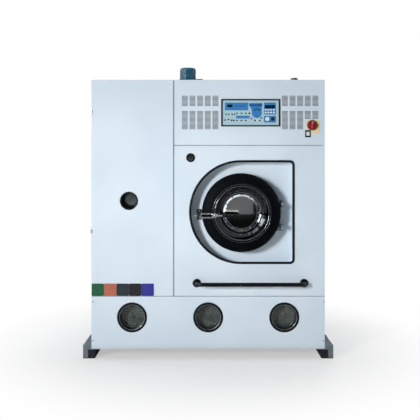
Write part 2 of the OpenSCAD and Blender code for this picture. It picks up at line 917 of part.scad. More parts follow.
// One bent tube with a rosette welded at each end
module handrail() {
  r = rail_d / 2;
  y_mid = front_y - rail_out;
  y_bend = y_mid + rail_bend;
  half = rail_w / 2;
  color(rubber_black)
    for (s = [-1, 1]) {
      x_end = rail_x + s * half;
      y_turn(x_end, rail_z) polygon([
        [0, front_y - fit], [rosette_d / 2, front_y - fit], [rosette_d / 2, front_y - 3],
        [rosette_d / 2 - 5, front_y - 7], [r + 1, front_y - 9], [0, front_y - 9]
      ]);
      y_disc(x_end, rail_z, r, y_bend, front_y - 2);
      translate([x_end - s * rail_bend, y_bend, rail_z]) rotate([0, 0, s > 0 ? -90 : 180])
        rotate_extrude(angle=90) translate([rail_bend, 0]) circle(r);
      translate([rail_x, y_mid, rail_z]) rotate([0, s * 90, 0]) cylinder(r=r, h=half - rail_bend);
    }
}

module rounded_rect(x0, z0, x1, z1, r) {
  for (x = [x0 + r, x1 - r], z = [z0 + r, z1 - r])
    translate([x, z]) circle(r);
  translate([x0 + r, z0]) square([x1 - x0 - 2 * r, z1 - z0]);
  translate([x0, z0 + r]) square([x1 - x0, z1 - z0 - 2 * r]);
}

module control_bezel() {
  color(rubber_black) xz_plate(front_y - bezel_proud, front_y - fit) difference() {
    rounded_rect(bezel_x, bezel_z0, bezel_x + bezel_w, bezel_z1, 3);
    translate([bezel_x + bezel_border, bezel_z0 + bezel_border])
      square([bezel_w - 2 * bezel_border, bezel_h - 2 * bezel_border]);
  }
}

// The control plate with its closed box behind, bored for the two push buttons
module control_housing() {
  box_t = 2;
  color("#b9dcd9") difference() {
    union() {
      block([plate_x0, plate_y, plate_z0], [plate_x1, plate_y + plate_t, plate_z1]);
      block([plate_x0, plate_y + plate_t - eps, plate_z0], [plate_x1, plate_y + housing_depth, plate_z1]);
    }
    block(
      [plate_x0 + box_t, plate_y + plate_t, plate_z0 + box_t],
      [plate_x1 - box_t, plate_y + housing_depth - box_t, plate_z1 - box_t]
    );
    y_disc(start_x, push_z, start_d / 2 + run_fit, plate_y - eps, plate_y + plate_t + eps);
    y_disc(stop_x, push_z, stop_d / 2 + run_fit, plate_y - eps, plate_y + plate_t + eps);
  }
}

left_display = [plate_x0 + 33, plate_z1 - 47, 36, 19];
right_display = [plate_x1 - 96, plate_z1 - 54, 71, 22];

module control_displays() {
  color("#10202a")
    for (d = [left_display, right_display])
      block([d[0], plate_y - 1.2, d[1]], [d[0] + d[2], plate_y, d[1] + d[3]]);
}

key_pitch_x = 18.6;
key_pitch_z = 17.8;
keys_x0 = plate_x1 - 89;
keys_z0 = plate_z1 - 60;
dot_key_w = 16;
dot_key_h = 8;
dot_keys_x0 = plate_x0 + 96;
dot_keys_pitch = 26;

module membrane_keys() {
  color("#e8f2f5") {
    for (c = [0:3], r = [0:1])
      xz_plate(plate_y - 1.5, plate_y) rounded_rect(
        keys_x0 + c * key_pitch_x - key_w / 2,
        keys_z0 - r * key_pitch_z - key_h,
        keys_x0 + c * key_pitch_x + key_w / 2,
        keys_z0 - r * key_pitch_z,
        3
      );
    for (c = [0:2])
      xz_plate(plate_y - 1.5, plate_y) rounded_rect(
        dot_keys_x0 + c * dot_keys_pitch - dot_key_w / 2,
        plate_z1 - 43,
        dot_keys_x0 + c * dot_keys_pitch + dot_key_w / 2,
        plate_z1 - 43 + dot_key_h,
        3
      );
  }
}

module push_button(x, d) {
  r = d / 2;
  color("white") y_turn(x, push_z) polygon([
    [0, plate_y - push_proud], [r - 2, plate_y - push_proud], [r, plate_y - push_proud + 2],
    [r, plate_y + push_depth], [0, plate_y + push_depth]
  ]);
}

module start_button() {
  push_button(start_x, start_d);
}

module stop_button() {
  push_button(stop_x, stop_d);
}

switch_shaft_r = 5;

module switch_plate() {
  z_drop = 12;
  color("#e6c33a") difference() {
    xz_plate(front_y - 2.5, front_y - fit) rounded_rect(
      knob_x - switch_w / 2 + 4,
      knob_z - switch_h / 2 - z_drop,
      knob_x + switch_w / 2 + 4,
      knob_z + switch_h / 2 - z_drop,
      4
    );
    y_disc(knob_x, knob_z, switch_shaft_r + run_fit, front_y - 3, front_y);
  }
}

// Round knob with a raised grip bar and its shaft
module main_switch_knob() {
  r = knob_d / 2;
  y_back = front_y - 2.5 - fit;
  y_front = y_back - knob_t;
  bar_w = 14;
  bar_h = 12;
  color("#c8202f") {
    difference() {
      y_turn(knob_x, knob_z) polygon([
        [0, y_back], [r, y_back], [r, y_front + 4], [r - 4, y_front], [0, y_front]
      ]);
      // finger scoops on both sides of the grip bar
      for (s = [-1, 1])
        translate([knob_x + s * (r * 0.62), y_front - 2, knob_z - r]) cylinder(r=9, h=knob_d);
    }
    xz_plate(y_front - bar_h, y_front + eps) intersection() {
      translate([knob_x, knob_z]) circle(r - 2);
      translate([knob_x - bar_w / 2, knob_z - r]) square([bar_w, knob_d]);
    }
    y_disc(knob_x, knob_z, switch_shaft_r, y_back - eps, front_y + 20);
  }
}

// ---------- top ----------

// Exhaust pipe with a rolled stop bead and a drawn-in rim
module chimney() {
  z0 = cab_z1 + collar_h + fit;
  z1 = cab_z1 + chimney_h;
  wall = 2.5;
  bead = 2;
  rim = 8;
  color(bright_steel) translate([-chimney_x, chimney_y, 0]) rotate_extrude() difference() {
    union() {
      polygon([
        [chimney_r - wall, z0], [chimney_r, z0], [chimney_r, z1 - rim],
        [chimney_r - rim, z1], [chimney_r - rim - wall, z1],
        [chimney_r - wall, z1 - rim]
      ]);
      translate([chimney_r - 1, z0 + 6]) circle(bead, $fn=24);
    }
    square([chimney_r - wall, z1 - rim]);
  }
}

vent_x = 617;
vent_r = 25;
vent_y = front_y + 200;

// The collar that carries the chimney, and the capped tank vent beside it
module top_fittings() {
  collar_w = 2 * chimney_r - 1;
  x0 = -chimney_x - chimney_r;
  x1 = x0 + 168;
  color("#2b3238") {
    difference() {
      union() {
        block(
          [x0, chimney_y - collar_w / 2, cab_z1 + fit],
          [x1, chimney_y + collar_w / 2, cab_z1 + collar_h]
        );
        translate([-chimney_x, chimney_y, cab_z1 + fit]) cylinder(r=chimney_r + 6, h=6);
      }
      translate([-chimney_x, chimney_y, cab_z1 - eps])
        cylinder(r=chimney_r - 8, h=collar_h + 2 * eps);
    }
    translate([vent_x, vent_y, 0]) rotate_extrude() polygon([
      [vent_r - 8, cab_z1 + fit], [vent_r + 10, cab_z1 + fit], [vent_r + 10, cab_z1 + 4],
      [vent_r - 4, cab_z1 + 4], [vent_r - 4, cab_z1 + 22], [vent_r, cab_z1 + 22],
      [vent_r, cab_z1 + 36], [vent_r - 4, cab_z1 + 40], [0, cab_z1 + 40],
      [0, cab_z1 + 34], [vent_r - 8, cab_z1 + 34]
    ]);
  }
}

// ---------- drum and drive ----------

collar_out_r = mouth_r + tub_t;
collar_y0 = recess_floor_y - collar_lip;

// Outer tub with its loading collar and two saddles
module tub() {
  color("#aeb6bb") {
    difference() {
      union() {
        y_turn(door_x, door_z) polygon([
          [mouth_r, collar_y0], [collar_out_r, collar_y0], [collar_out_r, tub_y0],
          [tub_out_r, tub_y0], [tub_out_r, tub_y1], [shaft_r + 60, tub_y1],
          [shaft_r + 60, tub_y1 - tub_t], [tub_in_r, tub_y1 - tub_t],
          [tub_in_r, tub_y0 + tub_t], [mouth_r, tub_y0 + tub_t]
        ]);
        for (s = [-1, 1])
          tub_saddle(s);
      }
      y_disc(door_x, door_z, tub_in_r, tub_y0 + tub_t, tub_y1 - tub_t);
    }
  }
}

module tub_saddle(s) {
  x = door_x + s * saddle_dx;
  w = 90;
  t = 8;
  difference() {
    union() {
      for (y = [tub_y0 + 60, tub_y1 - 60 - t])
        block([x - w / 2, y, beam_z1 + fit], [x + w / 2, y + t, door_z - tub_out_r * 0.7]);
      block([x - tube / 2, tub_y0 + 60, beam_z1 + fit], [x + tube / 2, tub_y1 - 60, beam_z1 + fit + t]);
    }
    y_disc(door_x, door_z, tub_in_r + tub_t / 2, tub_y0, tub_y1);
  }
}

// Cone shaped casting behind the tub that holds both bearings of the drum shaft
module bearing_housing() {
  r0 = 160;
  r1 = shaft_r + 28;
  ribs = 6;
  bearing_w = 24;
  color("#59626a") difference() {
    union() {
      y_turn(door_x, door_z) polygon([
        [0, tub_y1 + fit], [r0, tub_y1 + fit], [r0, tub_y1 + 16], [r1 + 14, tub_y1 + 60],
        [r1, tub_y1 + 120], [r1, housing_y1], [0, housing_y1]
      ]);
      for (i = [0:ribs - 1])
        translate([door_x, 0, door_z]) rotate([0, i * 360 / ribs, 0]) yz_plate(-5, 5) polygon([
          [tub_y1 + 8, 0], [tub_y1 + 8, r0 - 8], [tub_y1 + 24, r0 - 8],
          [housing_y1 - 20, r1 + 4], [housing_y1 - 20, 0]
        ]);
    }
    y_disc(door_x, door_z, shaft_r + 8, tub_y1 + bearing_w, housing_y1 - bearing_w);
    y_disc(door_x, door_z, shaft_r + run_fit, tub_y1 - eps, housing_y1 + eps);
  }
}

// The cage: a drawn shell with a rolled front lip and folded lifting ribs
module drum() {
  lip = 26;
  color(bright_steel) {
    y_turn(door_x, door_z) polygon([
      [mouth_r + 8, drum_y0], [drum_r + drum_t, drum_y0], [drum_r + drum_t, drum_y1],
      [shaft_r + run_fit, drum_y1], [shaft_r + run_fit, drum_y1 - 8],
      [drum_r * 0.55, drum_y1 - 8], [drum_r * 0.6, drum_y1 - drum_t],
      [drum_r, drum_y1 - drum_t], [drum_r, drum_y0 + drum_t],
      [mouth_r + 8 + drum_t, drum_y0 + drum_t], [mouth_r + 8 + drum_t, drum_y0 + lip],
      [mouth_r + 8, drum_y0 + lip]
    ]);
    for (i = [0:lifters - 1])
      translate([door_x, 0, door_z]) rotate([0, 90 + i * 360 / lifters, 0]) lifter();
  }
}

// A hollow folded rib with a round back, standing on the drum wall along +Z
module lifter() {
  base = 70;
  nose = 14;
  y0 = drum_y0 + 12;
  y1 = drum_y1 - drum_t + eps;
  intersection() {
    xz_plate(y0, y1) difference() {
      union() {
        polygon([
          [-base / 2, drum_r + 1], [-nose, drum_r - lifter_h + nose * 0.6],
          [nose, drum_r - lifter_h + nose * 0.6], [base / 2, drum_r + 1]
        ]);
        translate([0, drum_r - lifter_h + nose]) circle(nose);
      }
      polygon([
        [-base / 2 + 8, drum_r + 2], [-nose + 4, drum_r - lifter_h + nose * 1.2],
        [nose - 4, drum_r - lifter_h + nose * 1.2], [base / 2 - 8, drum_r + 2]
      ]);
    }
    y_disc(0, 0, drum_r + 1, y0 - eps, y1 + eps);
  }
}

module drum_shaft() {
  color("#8b939a") y_turn(door_x, door_z) polygon([
    [0, drum_y1 - 14], [shaft_r, drum_y1 - 14], [shaft_r, pulley_y1 + 4],
    [shaft_r - 3, pulley_y1 + 8], [0, pulley_y1 + 8]
  ]);
}

// Grooved pulley with a hub and arms that narrow towards the rim
module spoked_pulley(r, bore_r, y0, y1, arms) {
  rim = 16;
  hub = bore_r + 22;
  y_turn(0, 0) difference() {
    union() {
      translate([r - rim, y0]) square([rim, y1 - y0]);
      translate([0, y0]) square([hub, y1 - y0]);
    }
    translate([0, y0 - eps]) square([bore_r, y1 - y0 + 2 * eps]);
    for (g = [y0 + 6 : 6 : y1 - 5])
      translate([r, g]) circle(2, $fn=4);
  }
  for (i = [0:arms - 1])
    rotate([0, i * 360 / arms, 0]) xz_plate(y0 + 8, y1 - 8)
      polygon([[-22, hub - 4], [22, hub - 4], [13, r - rim + 2], [-13, r - rim + 2]]);
}

module drum_pulley() {
  color("#3c444b") translate([door_x, 0, door_z])
    spoked_pulley(drum_pulley_r, shaft_r + run_fit, pulley_y0, pulley_y1, 5);
}

module motor_pulley() {
  color("#3c444b") y_turn(motor_x, motor_z) difference() {
    translate([motor_shaft_r + run_fit, pulley_y0])
      square([motor_pulley_r - motor_shaft_r - run_fit, pulley_y1 - pulley_y0]);
    for (g = [pulley_y0 + 6 : 6 : pulley_y1 - 5])
      translate([motor_pulley_r, g]) circle(2, $fn=4);
  }
}

// A strip of belt bent round a pulley, through a given angle from a given direction
module belt_wrap(at, r, from, through) {
  lap = 0.5;
  translate([at[0], 0, at[1]]) rotate([90, 0, 0]) rotate([0, 0, from - lap])
    rotate_extrude(angle=through + 2 * lap, $fn=180) translate([r, 0]) square([belt_t, belt_w]);
}

// Flat belt: two wraps and the two straight runs that touch both pulleys
module drive_belt() {
  a = [door_x, door_z];
  b = [motor_x, motor_z];
  ra = drum_pulley_r + fit;
  rb = motor_pulley_r + fit;
  seam = 0.05;
  span = norm(b - a);
  heading = atan2(b[1] - a[1], b[0] - a[0]);
  lean = acos((ra - rb) / span);
  run = sqrt(span * span - (ra - rb) * (ra - rb));
  y1 = (pulley_y0 + pulley_y1 + belt_w) / 2;
  color("#1b1e21") translate([0, y1, 0]) {
    belt_wrap(a, ra, heading + lean, 360 - 2 * lean);
    belt_wrap(b, rb, heading - lean, 2 * lean);
    for (s = [-1, 1])
      translate([a[0], 0, a[1]]) rotate([90, 0, 0]) rotate([0, 0, heading + s * lean])
        translate([ra - seam, s > 0 ? -run : 0, 0]) cube([belt_t + 2 * seam, run, belt_w]);
  }
}

// Finned motor with a foot and a through shaft
module drive_motor() {
  fins = 20;
  shaft_y1 = pulley_y1 + 4;
  color("#4a5a66") {
    y_turn(motor_x, motor_z) polygon([
      [0, motor_y0], [motor_r * 0.7, motor_y0], [motor_r - 6, motor_y0 + 14],
      [motor_r - 6, motor_y1 - 20], [motor_r * 0.6, motor_y1 - 6],
      [motor_shaft_r, motor_y1 - 6], [motor_shaft_r, shaft_y1], [0, shaft_y1]
    ]);
    for (i = [0:fins - 1])
      translate([motor_x, 0, motor_z]) rotate([0, i * 360 / fins, 0])
        block([-1.5, motor_y0 + 24, motor_r - 12], [1.5, motor_y1 - 30, motor_r]);
    block(
      [motor_x - tube / 2, motor_y0 + 30, beam_z1 + fit],
      [motor_x + tube / 2, motor_y1 - 40, motor_z - motor_r * 0.6]
    );
  }
}

// ---------- solvent circuit ----------

// Upright still with domed ends, legs and a window tube
module still() {
  leg_r = 14;
  tube_y1 = front_y + still_set;
  dome = 40;
  color("#b3babd") {
    difference() {
      union() {
        translate([-still_x, still_y, 0]) rotate_extrude() polygon([
          [0, still_z0 - dome], [still_r * 0.5, still_z0 - dome * 0.8],
          [still_r * 0.85, still_z0 - dome * 0.4], [still_r, still_z0],
          [still_r, still_z1], [still_r * 0.85, still_z1 + dome * 0.4],
          [still_r * 0.5, still_z1 + dome * 0.8], [vapour_r + 10, still_z1 + dome],
          [vapour_r + 10, still_z1 + dome + 12], [0, still_z1 + dome + 12]
        ]);
        y_disc(-still_x, still_window_z, still_tube_r, tube_y1, still_y);
        for (a = [45 : 90 : 315])
          translate([-still_x + (still_r - 20) * cos(a), still_y + (still_r - 20) * sin(a), tank_top_rest])
            cylinder(r=leg_r, h=still_z0 - tank_top_rest);
      }
      y_disc(-still_x, still_window_z, 33, tube_y1 - eps, tube_y1 + 30);
    }
  }
}

tank_top_rest = tank_z1 + fit;

// Horizontal tube condenser on two feet
module condenser() {
  x0 = -frame_x + tube + 20;
  x1 = centre_post_x - tube;
  foot_t = 8;
  color("#a7b0b5") {
    translate([x0, condenser_y, condenser_z]) rotate([0, 90, 0]) {
      cylinder(r=condenser_r, h=x1 - x0);
      for (x = [10, x1 - x0 - 24])
        translate([0, 0, x]) cylinder(r=condenser_r + 14, h=14);
    }
    for (x = [x0 + 90, x1 - 90])
      block(
        [x - foot_t / 2, condenser_y - 60, shelf_z + shelf_t + fit],
        [x + foot_t / 2, condenser_y + 60, condenser_z]
      );
    for (x = [x0 + 90, x1 - 90])
      block(
        [x - 25, condenser_y - 60, shelf_z + shelf_t + fit],
        [x + 25, condenser_y + 60, shelf_z + shelf_t + fit + 6]
      );
  }
}

// Close-coupled pump: volute, motor and foot
module solvent_pump() {
  volute_r = 75;
  body_r = 62;
  y0 = pump_y - pump_half;
  y1 = pump_y + pump_half;
  color("#5a6a75") {
    y_disc(pump_x, pump_z, volute_r, y0, y0 + 60);
    y_disc(pump_x, pump_z, body_r, y0 + 50, y1);
    y_disc(pump_x, pump_z, 30, y0 - pump_nose, y0 + eps);
    translate([filter_x, y0 + 30, pump_z]) cylinder(r=22, h=pump_rise);
    block([pump_x - 60, y0 + 80, tray_z1 + fit], [pump_x + 60, y1 - 20, pump_z - 40]);
  }
}

// Upright cartridge filter with a clamped domed lid
module filter_housing() {
  z0 = shelf_z + shelf_t + fit;
  z1 = z0 + filter_h;
  color("#9fb0bb") translate([filter_x, filter_y, 0]) rotate_extrude() polygon([
    [0, z0], [filter_r - 20, z0], [filter_r - 20, z0 + 20], [filter_r, z0 + 40],
    [filter_r, z1 - 6], [filter_r + 12, z1 - 6], [filter_r + 12, z1 + 18],
    [filter_r, z1 + 18], [filter_r * 0.8, z1 + 50], [filter_r * 0.4, z1 + 70],
    [20, z1 + 74], [20, z1 + 100], [0, z1 + 100]
  ]);
}

// Quadrants of a volute, each with a larger radius than the last
module scroll(grow) {
  for (q = [0:3]) {
    r = scroll_r + q * scroll_step + grow;
    rotate(-90 * q - 90) intersection() {
      circle(r, $fn=96);
      translate([0, 0]) square([r, r]);
    }
  }
}

// Scroll housing with its upright outlet and the fan motor in front
module fan_housing() {
  wall = 3;
  x_out = -chimney_x;
  top = cab_z1 - sheet - fit;
  color("#8f9aa1") difference() {
    union() {
      xz_plate(fan_y0, fan_y1) translate([fan_x, fan_z]) scroll(0);
      block([x_out - outlet_w / 2, fan_y0, fan_z], [x_out + outlet_w / 2, fan_y1, top]);
      block([x_out - outlet_w / 2 - 12, fan_y0 - 8, top - 4], [x_out + outlet_w / 2 + 12, fan_y1 + 8, top]);
      y_disc(fan_x, fan_z, 52, fan_y0 - 95, fan_y0 + eps);
    }
    xz_plate(fan_y0 + wall, fan_y1 - wall) translate([fan_x, fan_z]) scroll(-wall);
    block(
      [x_out - outlet_w / 2 + wall, fan_y0 + wall, fan_z],
      [x_out + outlet_w / 2 - wall, fan_y1 - wall, top + eps]
    );
    y_disc(fan_x, fan_z, 62, fan_y1 - wall - eps, fan_y1 + eps);
    y_disc(fan_x, fan_z, fan_shaft_r + run_fit, fan_y0 - 60, fan_y0 + wall + eps);
  }
}

// Backward-curved impeller on its shaft
module fan_impeller() {
  blades = 10;
  blade_r = 70;
  blade_t = 2.5;
  back = fan_y0 + 14;
  front = fan_y0 + 66;
  color("#c4cbd0") {
    y_disc(fan_x, fan_z, fan_r, back, back + 3);
    y_disc(fan_x, fan_z, 24, back, back + 34);
    y_disc(fan_x, fan_z, fan_shaft_r, fan_y0 - 50, back + eps);
    y_disc(fan_x, fan_z, fan_r, front, front + 3, 66);
    translate([fan_x, 0, fan_z]) xz_plate(back + 2, front + eps)
      for (i = [0:blades - 1])
        rotate(i * 360 / blades) intersection() {
          translate([fan_r * 0.62, -blade_r * 0.86]) difference() {
            circle(blade_r);
            circle(blade_r - blade_t);
          }
          difference() {
            circle(fan_r - 1);
            circle(fan_r * 0.42);
          }
          translate([0, -fan_r * 0.2]) square([fan_r, fan_r]);
        }
  }
}

flow_y0 = front_y + 70;
flow_body_r = 26;

// Pipes between the vessels: each ends face to face with what it joins
module pipework() {
  sight_y1 = flow_y0 + 80;
  pipe_y = flow_y0 + 62;
  riser_y = pump_y - pump_half + 30;
  color("#b98a55") {
    // flow window body and its drop to the tub
    difference() {
      union() {
        y_disc(-flow_x, flow_z, flow_body_r, flow_y0, sight_y1);
        translate([-flow_x, pipe_y, flow_z - 200]) cylinder(r=pipe_r, h=200);
      }
      y_disc(-flow_x, flow_z, 15, flow_y0 - eps, flow_y0 + 45);
      y_disc(door_x, door_z, tub_out_r + fit, tub_y0, tub_y1);
    }
    // suction pipe from the middle tank to the pump
    y_disc(pump_x, pump_z, 30, tank_y1 + fit, pump_y - pump_half - pump_nose - fit);
    // delivery pipe from the pump up to the filter
    translate([filter_x, riser_y, pump_z + pump_rise + fit])
      cylinder(r=pipe_r, h=feed_z - pump_z - pump_rise - fit);
    translate([filter_x, riser_y, feed_z]) sphere(pipe_r);
    y_disc(filter_x, feed_z, pipe_r, filter_y, riser_y);
    translate([filter_x, filter_y, feed_z]) sphere(pipe_r);
    translate([filter_x, filter_y, feed_z]) cylinder(r=pipe_r, h=shelf_z + shelf_t - feed_z);
    // vapour pipe from the still to the condenser
    difference() {
      union() {
        translate([-still_x, still_y, still_z1 + 52 + fit])
          cylinder(r=vapour_r, h=condenser_z - still_z1 - 52 - fit);
        translate([-still_x, still_y, condenser_z]) sphere(vapour_r);
        y_disc(-still_x, condenser_z, vapour_r, still_y, condenser_y);
      }
      translate([-frame_x, condenser_y, condenser_z])
        rotate([0, 90, 0]) cylinder(r=condenser_r + fit, h=2 * frame_x);
    }
  }
  // air duct from the tub up to the fan inlet
  color("#c4cbd0") difference() {
    block([fan_x - 55, fan_y1 + fit, door_z], [fan_x + 55, fan_y1 + 110, fan_z + 80]);
    y_disc(door_x, door_z, tub_out_r + fit, tub_y0 - eps, tub_y1 + eps);
    block([fan_x - 52, fan_y1 + 3, fan_z - 77], [fan_x + 52, fan_y1 + 107, fan_z + 77]);
    y_disc(fan_x, fan_z, 62, fan_y1 - eps, fan_y1 + 4);
  }
}

// X, Z and outer radius of each connection on the rear panel
connections = [
  [left_x + 240, cab_z0 + 312, water_d / 2],
  [left_x + 330, cab_z0 + 312, water_d / 2],
  [left_x + 450, cab_z0 + 312, 24],
  [left_x + 240, cab_z0 + 452, 9],
  [right_x - 240, cab_z1 - 212, 16]
];

// Threaded stubs for water, drain and air, and the cable gland
module rear_connections() {
  y0 = back_y - 60;
  gland = connections[4];
  color("#b5995a") {
    for (i = [0:3]) {
      c = connections[i];
      bore = c[2] - 4;
      y_disc(c[0], c[1], c[2], y0, back_y + stub_len, bore);
      difference() {
        y_disc(c[0], c[1], c[2] + 8, back_y + fit, back_y + 14, bore);
        y_disc(c[0], c[1], bore, back_y - eps, back_y + 20);
      }
    }
    y_disc(gland[0], gland[1], gland[2], back_y - 30, back_y + 30, gland_bore_d / 2);
    y_disc(gland[0], gland[1], gland[2] + 7, back_y + fit, back_y + 12, gland_bore_d / 2);
    y_disc(gland[0], gland[1], gland[2] + 7, back_y - sheet - 10, back_y - sheet - fit, gland_bore_d / 2);
  }
}

// ---------- loading door ----------

// Black cast ring: rounded front, straight rim and a rear plate
module door_ring() {
  root = [ring_r - ring_round, front_y + ring_root];
  color(rubber_black) {
    y_turn(door_x, door_z) {
      intersection() {
        translate(root) difference() {
          circle(ring_round);
          circle(ring_round - ring_wall);
        }
        translate([root[0], root[1] - ring_round]) square([ring_round, ring_round]);
      }
      translate([ring_r - ring_wall, root[1]]) square([ring_wall, ring_rim]);
      translate([ring_open_r, ring_front_y]) square([root[0] - ring_open_r, ring_wall]);
      translate([ring_open_r, ring_front_y]) square([4, 14]);
      translate([door_plate_in_r, ring_back_y - ring_wall])
        square([ring_r - door_plate_in_r, ring_wall]);
    }
    // boss for the lever
    y_disc(latch_x, latch_z, hub_r - 2, lever_y1 + fit, ring_front_y + 2);
    y_disc(latch_x, latch_z, 6, lever_y0 - 3, ring_front_y + 2);
  }
}

// Polished cone that leads from the ring to the glass
module door_cone() {
  lip_y = ring_front_y + 14 + fit;
  r_big = ring_open_r + 4;
  color(bright_steel) y_turn(door_x, door_z) polygon([
    [r_big - cone_t - 4, lip_y - 6], [r_big - 4 - fit, lip_y - 6], [r_big - 4 - fit, lip_y],
    [r_big, lip_y],
    [r_big, lip_y + cone_t], [cone_small_r, glass_y1 + fit], [cone_small_r, ring_back_y],
    [cone_small_r - cone_t, ring_back_y], [cone_small_r - cone_t, cone_back_y],
    [clamp_in_r - 2, cone_back_y], [clamp_in_r - 2, glass_y1 + fit],
    [cone_small_r - cone_t, glass_y1 + fit]
  ]);
}

module bolt_circle(r, n) {
  for (i = [0:n - 1])
    translate([r * cos(i * 360 / n), r * sin(i * 360 / n)]) children();
}

module door_clamp_ring() {
  spacer_in = glass_r + fit;
  color(bright_steel) difference() {
    y_turn(door_x, door_z) polygon([
      [clamp_in_r, clamp_y0 + 2], [clamp_in_r + 2, clamp_y0], [clamp_out_r - 2, clamp_y0],
      [clamp_out_r, clamp_y0 + 2], [clamp_out_r, glass_y1 - 2 * fit],
      [spacer_in, glass_y1 - 2 * fit], [spacer_in, glass_y0 - fit], [clamp_in_r, glass_y0 - fit]
    ]);
    xz_plate(clamp_y0 - eps, glass_y1)
      translate([door_x, door_z]) bolt_circle(clamp_pcd / 2, clamp_bolts)
        circle(bolt_r + fit / 3);
  }
}

bolt_r = 2.5;

module door_bolts() {
  head_r = 5;
  head_t = 4;
  color("#eef1f3")
    for (i = [0:clamp_bolts - 1]) {
      a = i * 360 / clamp_bolts;
      x = door_x + clamp_pcd / 2 * cos(a);
      z = door_z + clamp_pcd / 2 * sin(a);
      y_disc(x, z, head_r, clamp_y0 - head_t, clamp_y0 - fit);
      y_disc(x, z, bolt_r, clamp_y0 - fit - eps, glass_y1);
    }
}

module door_glass() {
  color([0.35, 0.38, 0.38, 0.5]) y_disc(door_x, door_z, glass_r, glass_y0, glass_y1);
}

module door_gasket() {
  y0 = ring_back_y + fit;
  y1 = collar_y0 - fit;
  color("#202326") y_turn(door_x, door_z) difference() {
    translate([gasket_in_r, y0]) square([gasket_out_r - gasket_in_r, y1 - y0]);
    translate([gasket_out_r, y1]) circle(3);
  }
}

// Where each hinge starts: the knuckle is inside, the lug outside, a gap apart
function knuckle_z(s) = hinge_z + s * hinge_span / 2 + (s > 0 ? -knuckle_t : 0);
function lug_z(s) = hinge_z + s * (hinge_span / 2 + hinge_gap_z) + (s > 0 ? 0 : -lug_t);
hinge_gap_z = 0.5;

// Hinge plate behind the ring, with two arms that bend round the rim to their knuckles
module door_hinge_arm() {
  z0 = knuckle_z(-1);
  z1 = knuckle_z(1) + knuckle_t;
  x_in = hinge_pads_x0;
  x_arm = hinge_x - barrel_r;
  color("#2a2f33") {
    block([x_in, arm_y0, z0], [x_in + 9, arm_y1, z1]);
    for (s = [-1, 1])
      translate([0, 0, knuckle_z(s)]) difference() {
        linear_extrude(knuckle_t) union() {
          translate([hinge_x, hinge_y]) circle(barrel_r);
          translate([x_arm, hinge_y]) square([arm_t, arm_y1 - hinge_y]);
          translate([x_in, arm_y0]) square([x_arm - x_in + arm_t, arm_t]);
        }
        translate([hinge_x, hinge_y, -eps])
          cylinder(r=hinge_pin_r + run_fit, h=knuckle_t + 2 * eps);
      }
  }
}

// Two pads on the recess floor, each with a lug that reaches forward to its pin
module door_hinge_brackets() {
  pad_t = 8;
  pad_grow = 16;
  x1 = hinge_x + barrel_r;
  y1 = recess_floor_y - fit;
  color("#2a2f33")
    for (s = [-1, 1])
      translate([0, 0, lug_z(s)]) difference() {
        union() {
          block([hinge_pads_x0, y1 - pad_t, -pad_grow], [x1, y1, lug_t + pad_grow]);
          linear_extrude(lug_t) union() {
            translate([hinge_x, hinge_y]) circle(barrel_r);
            polygon([
              [x1, hinge_y], [x1, y1 - pad_t + eps],
              [hinge_pads_x0 + 4, y1 - pad_t + eps], [hinge_x - barrel_r, arm_y1 + 4],
              [hinge_x - barrel_r, hinge_y]
            ]);
          }
        }
        translate([hinge_x, hinge_y, -eps]) cylinder(r=hinge_pin_r + run_fit, h=lug_t + 2 * eps);
      }
}

// Headed pins, one through each lug and knuckle
module door_hinge_pins() {
  head = 3;
  len = knuckle_t + lug_t + hinge_gap_z + 1;
  color(bright_steel)
    for (s = [-1, 1])
      translate([hinge_x, hinge_y, hinge_z + s * (hinge_span / 2 + hinge_gap_z + lug_t)])
        rotate([s > 0 ? 180 : 0, 0, 0]) rotate_extrude() polygon([
          [0, -head], [barrel_r - 3, -head], [barrel_r - 2, -head + 1],
          [barrel_r - 2, -fit], [hinge_pin_r, -fit], [hinge_pin_r, len], [0, len]
        ]);
}

// ---------- latch ----------

// Two flat rails from a hub to a joined tip, and the rod that carries the grip
module latch_lever() {
  half = latch_rails_h / 2;
  tip_w = 9;
  rod_to = grip_from + grip_len - 14;
  color(bright_steel) difference() {
    union() {
      xz_plate(lever_y0, lever_y1) {
        for (s = [-1, 1])
          translate([lever_tip_x, latch_z + (s > 0 ? half - rail_t : -half)])
            square([latch_reach - hub_r + 6, rail_t]);
        translate([lever_tip_x, latch_z - half]) square([tip_w, 2 * half]);
        translate([latch_x - hub_r - 4, latch_z - half]) square([8, 2 * half]);
        translate([latch_x, latch_z]) circle(hub_r);
      }
      translate([latch_x + hub_r - 3, lever_mid_y, latch_z])
        rotate([0, 90, 0]) cylinder(r=lever_rod_r, h=rod_to - hub_r + 3);
    }
    y_disc(latch_x, latch_z, 6 + run_fit, lever_y0 - eps, lever_y1 + eps);
  }
}

// Ribbed sleeve on the lever rod
module latch_grip() {
  r = grip_d / 2;
  rib = grip_len / grip_ribs;
  groove = 2.5;
  color(rubber_black) translate([latch_x + grip_from, lever_mid_y, latch_z])
    rotate([0, 90, 0]) rotate_extrude() difference() {
      union() {
        translate([lever_rod_r + fit, 0]) square([r - lever_rod_r - fit, grip_len - 8]);
        translate([0, grip_len - 13]) square([r - 8, 13]);
        translate([r - 8, grip_len - 8]) intersection() {
          circle(8);
          square(8);
        }
      }
      for (i = [0:grip_ribs - 1])
        translate([r, (i + 0.5) * rib]) circle(groove, $fn=16);
    }
}

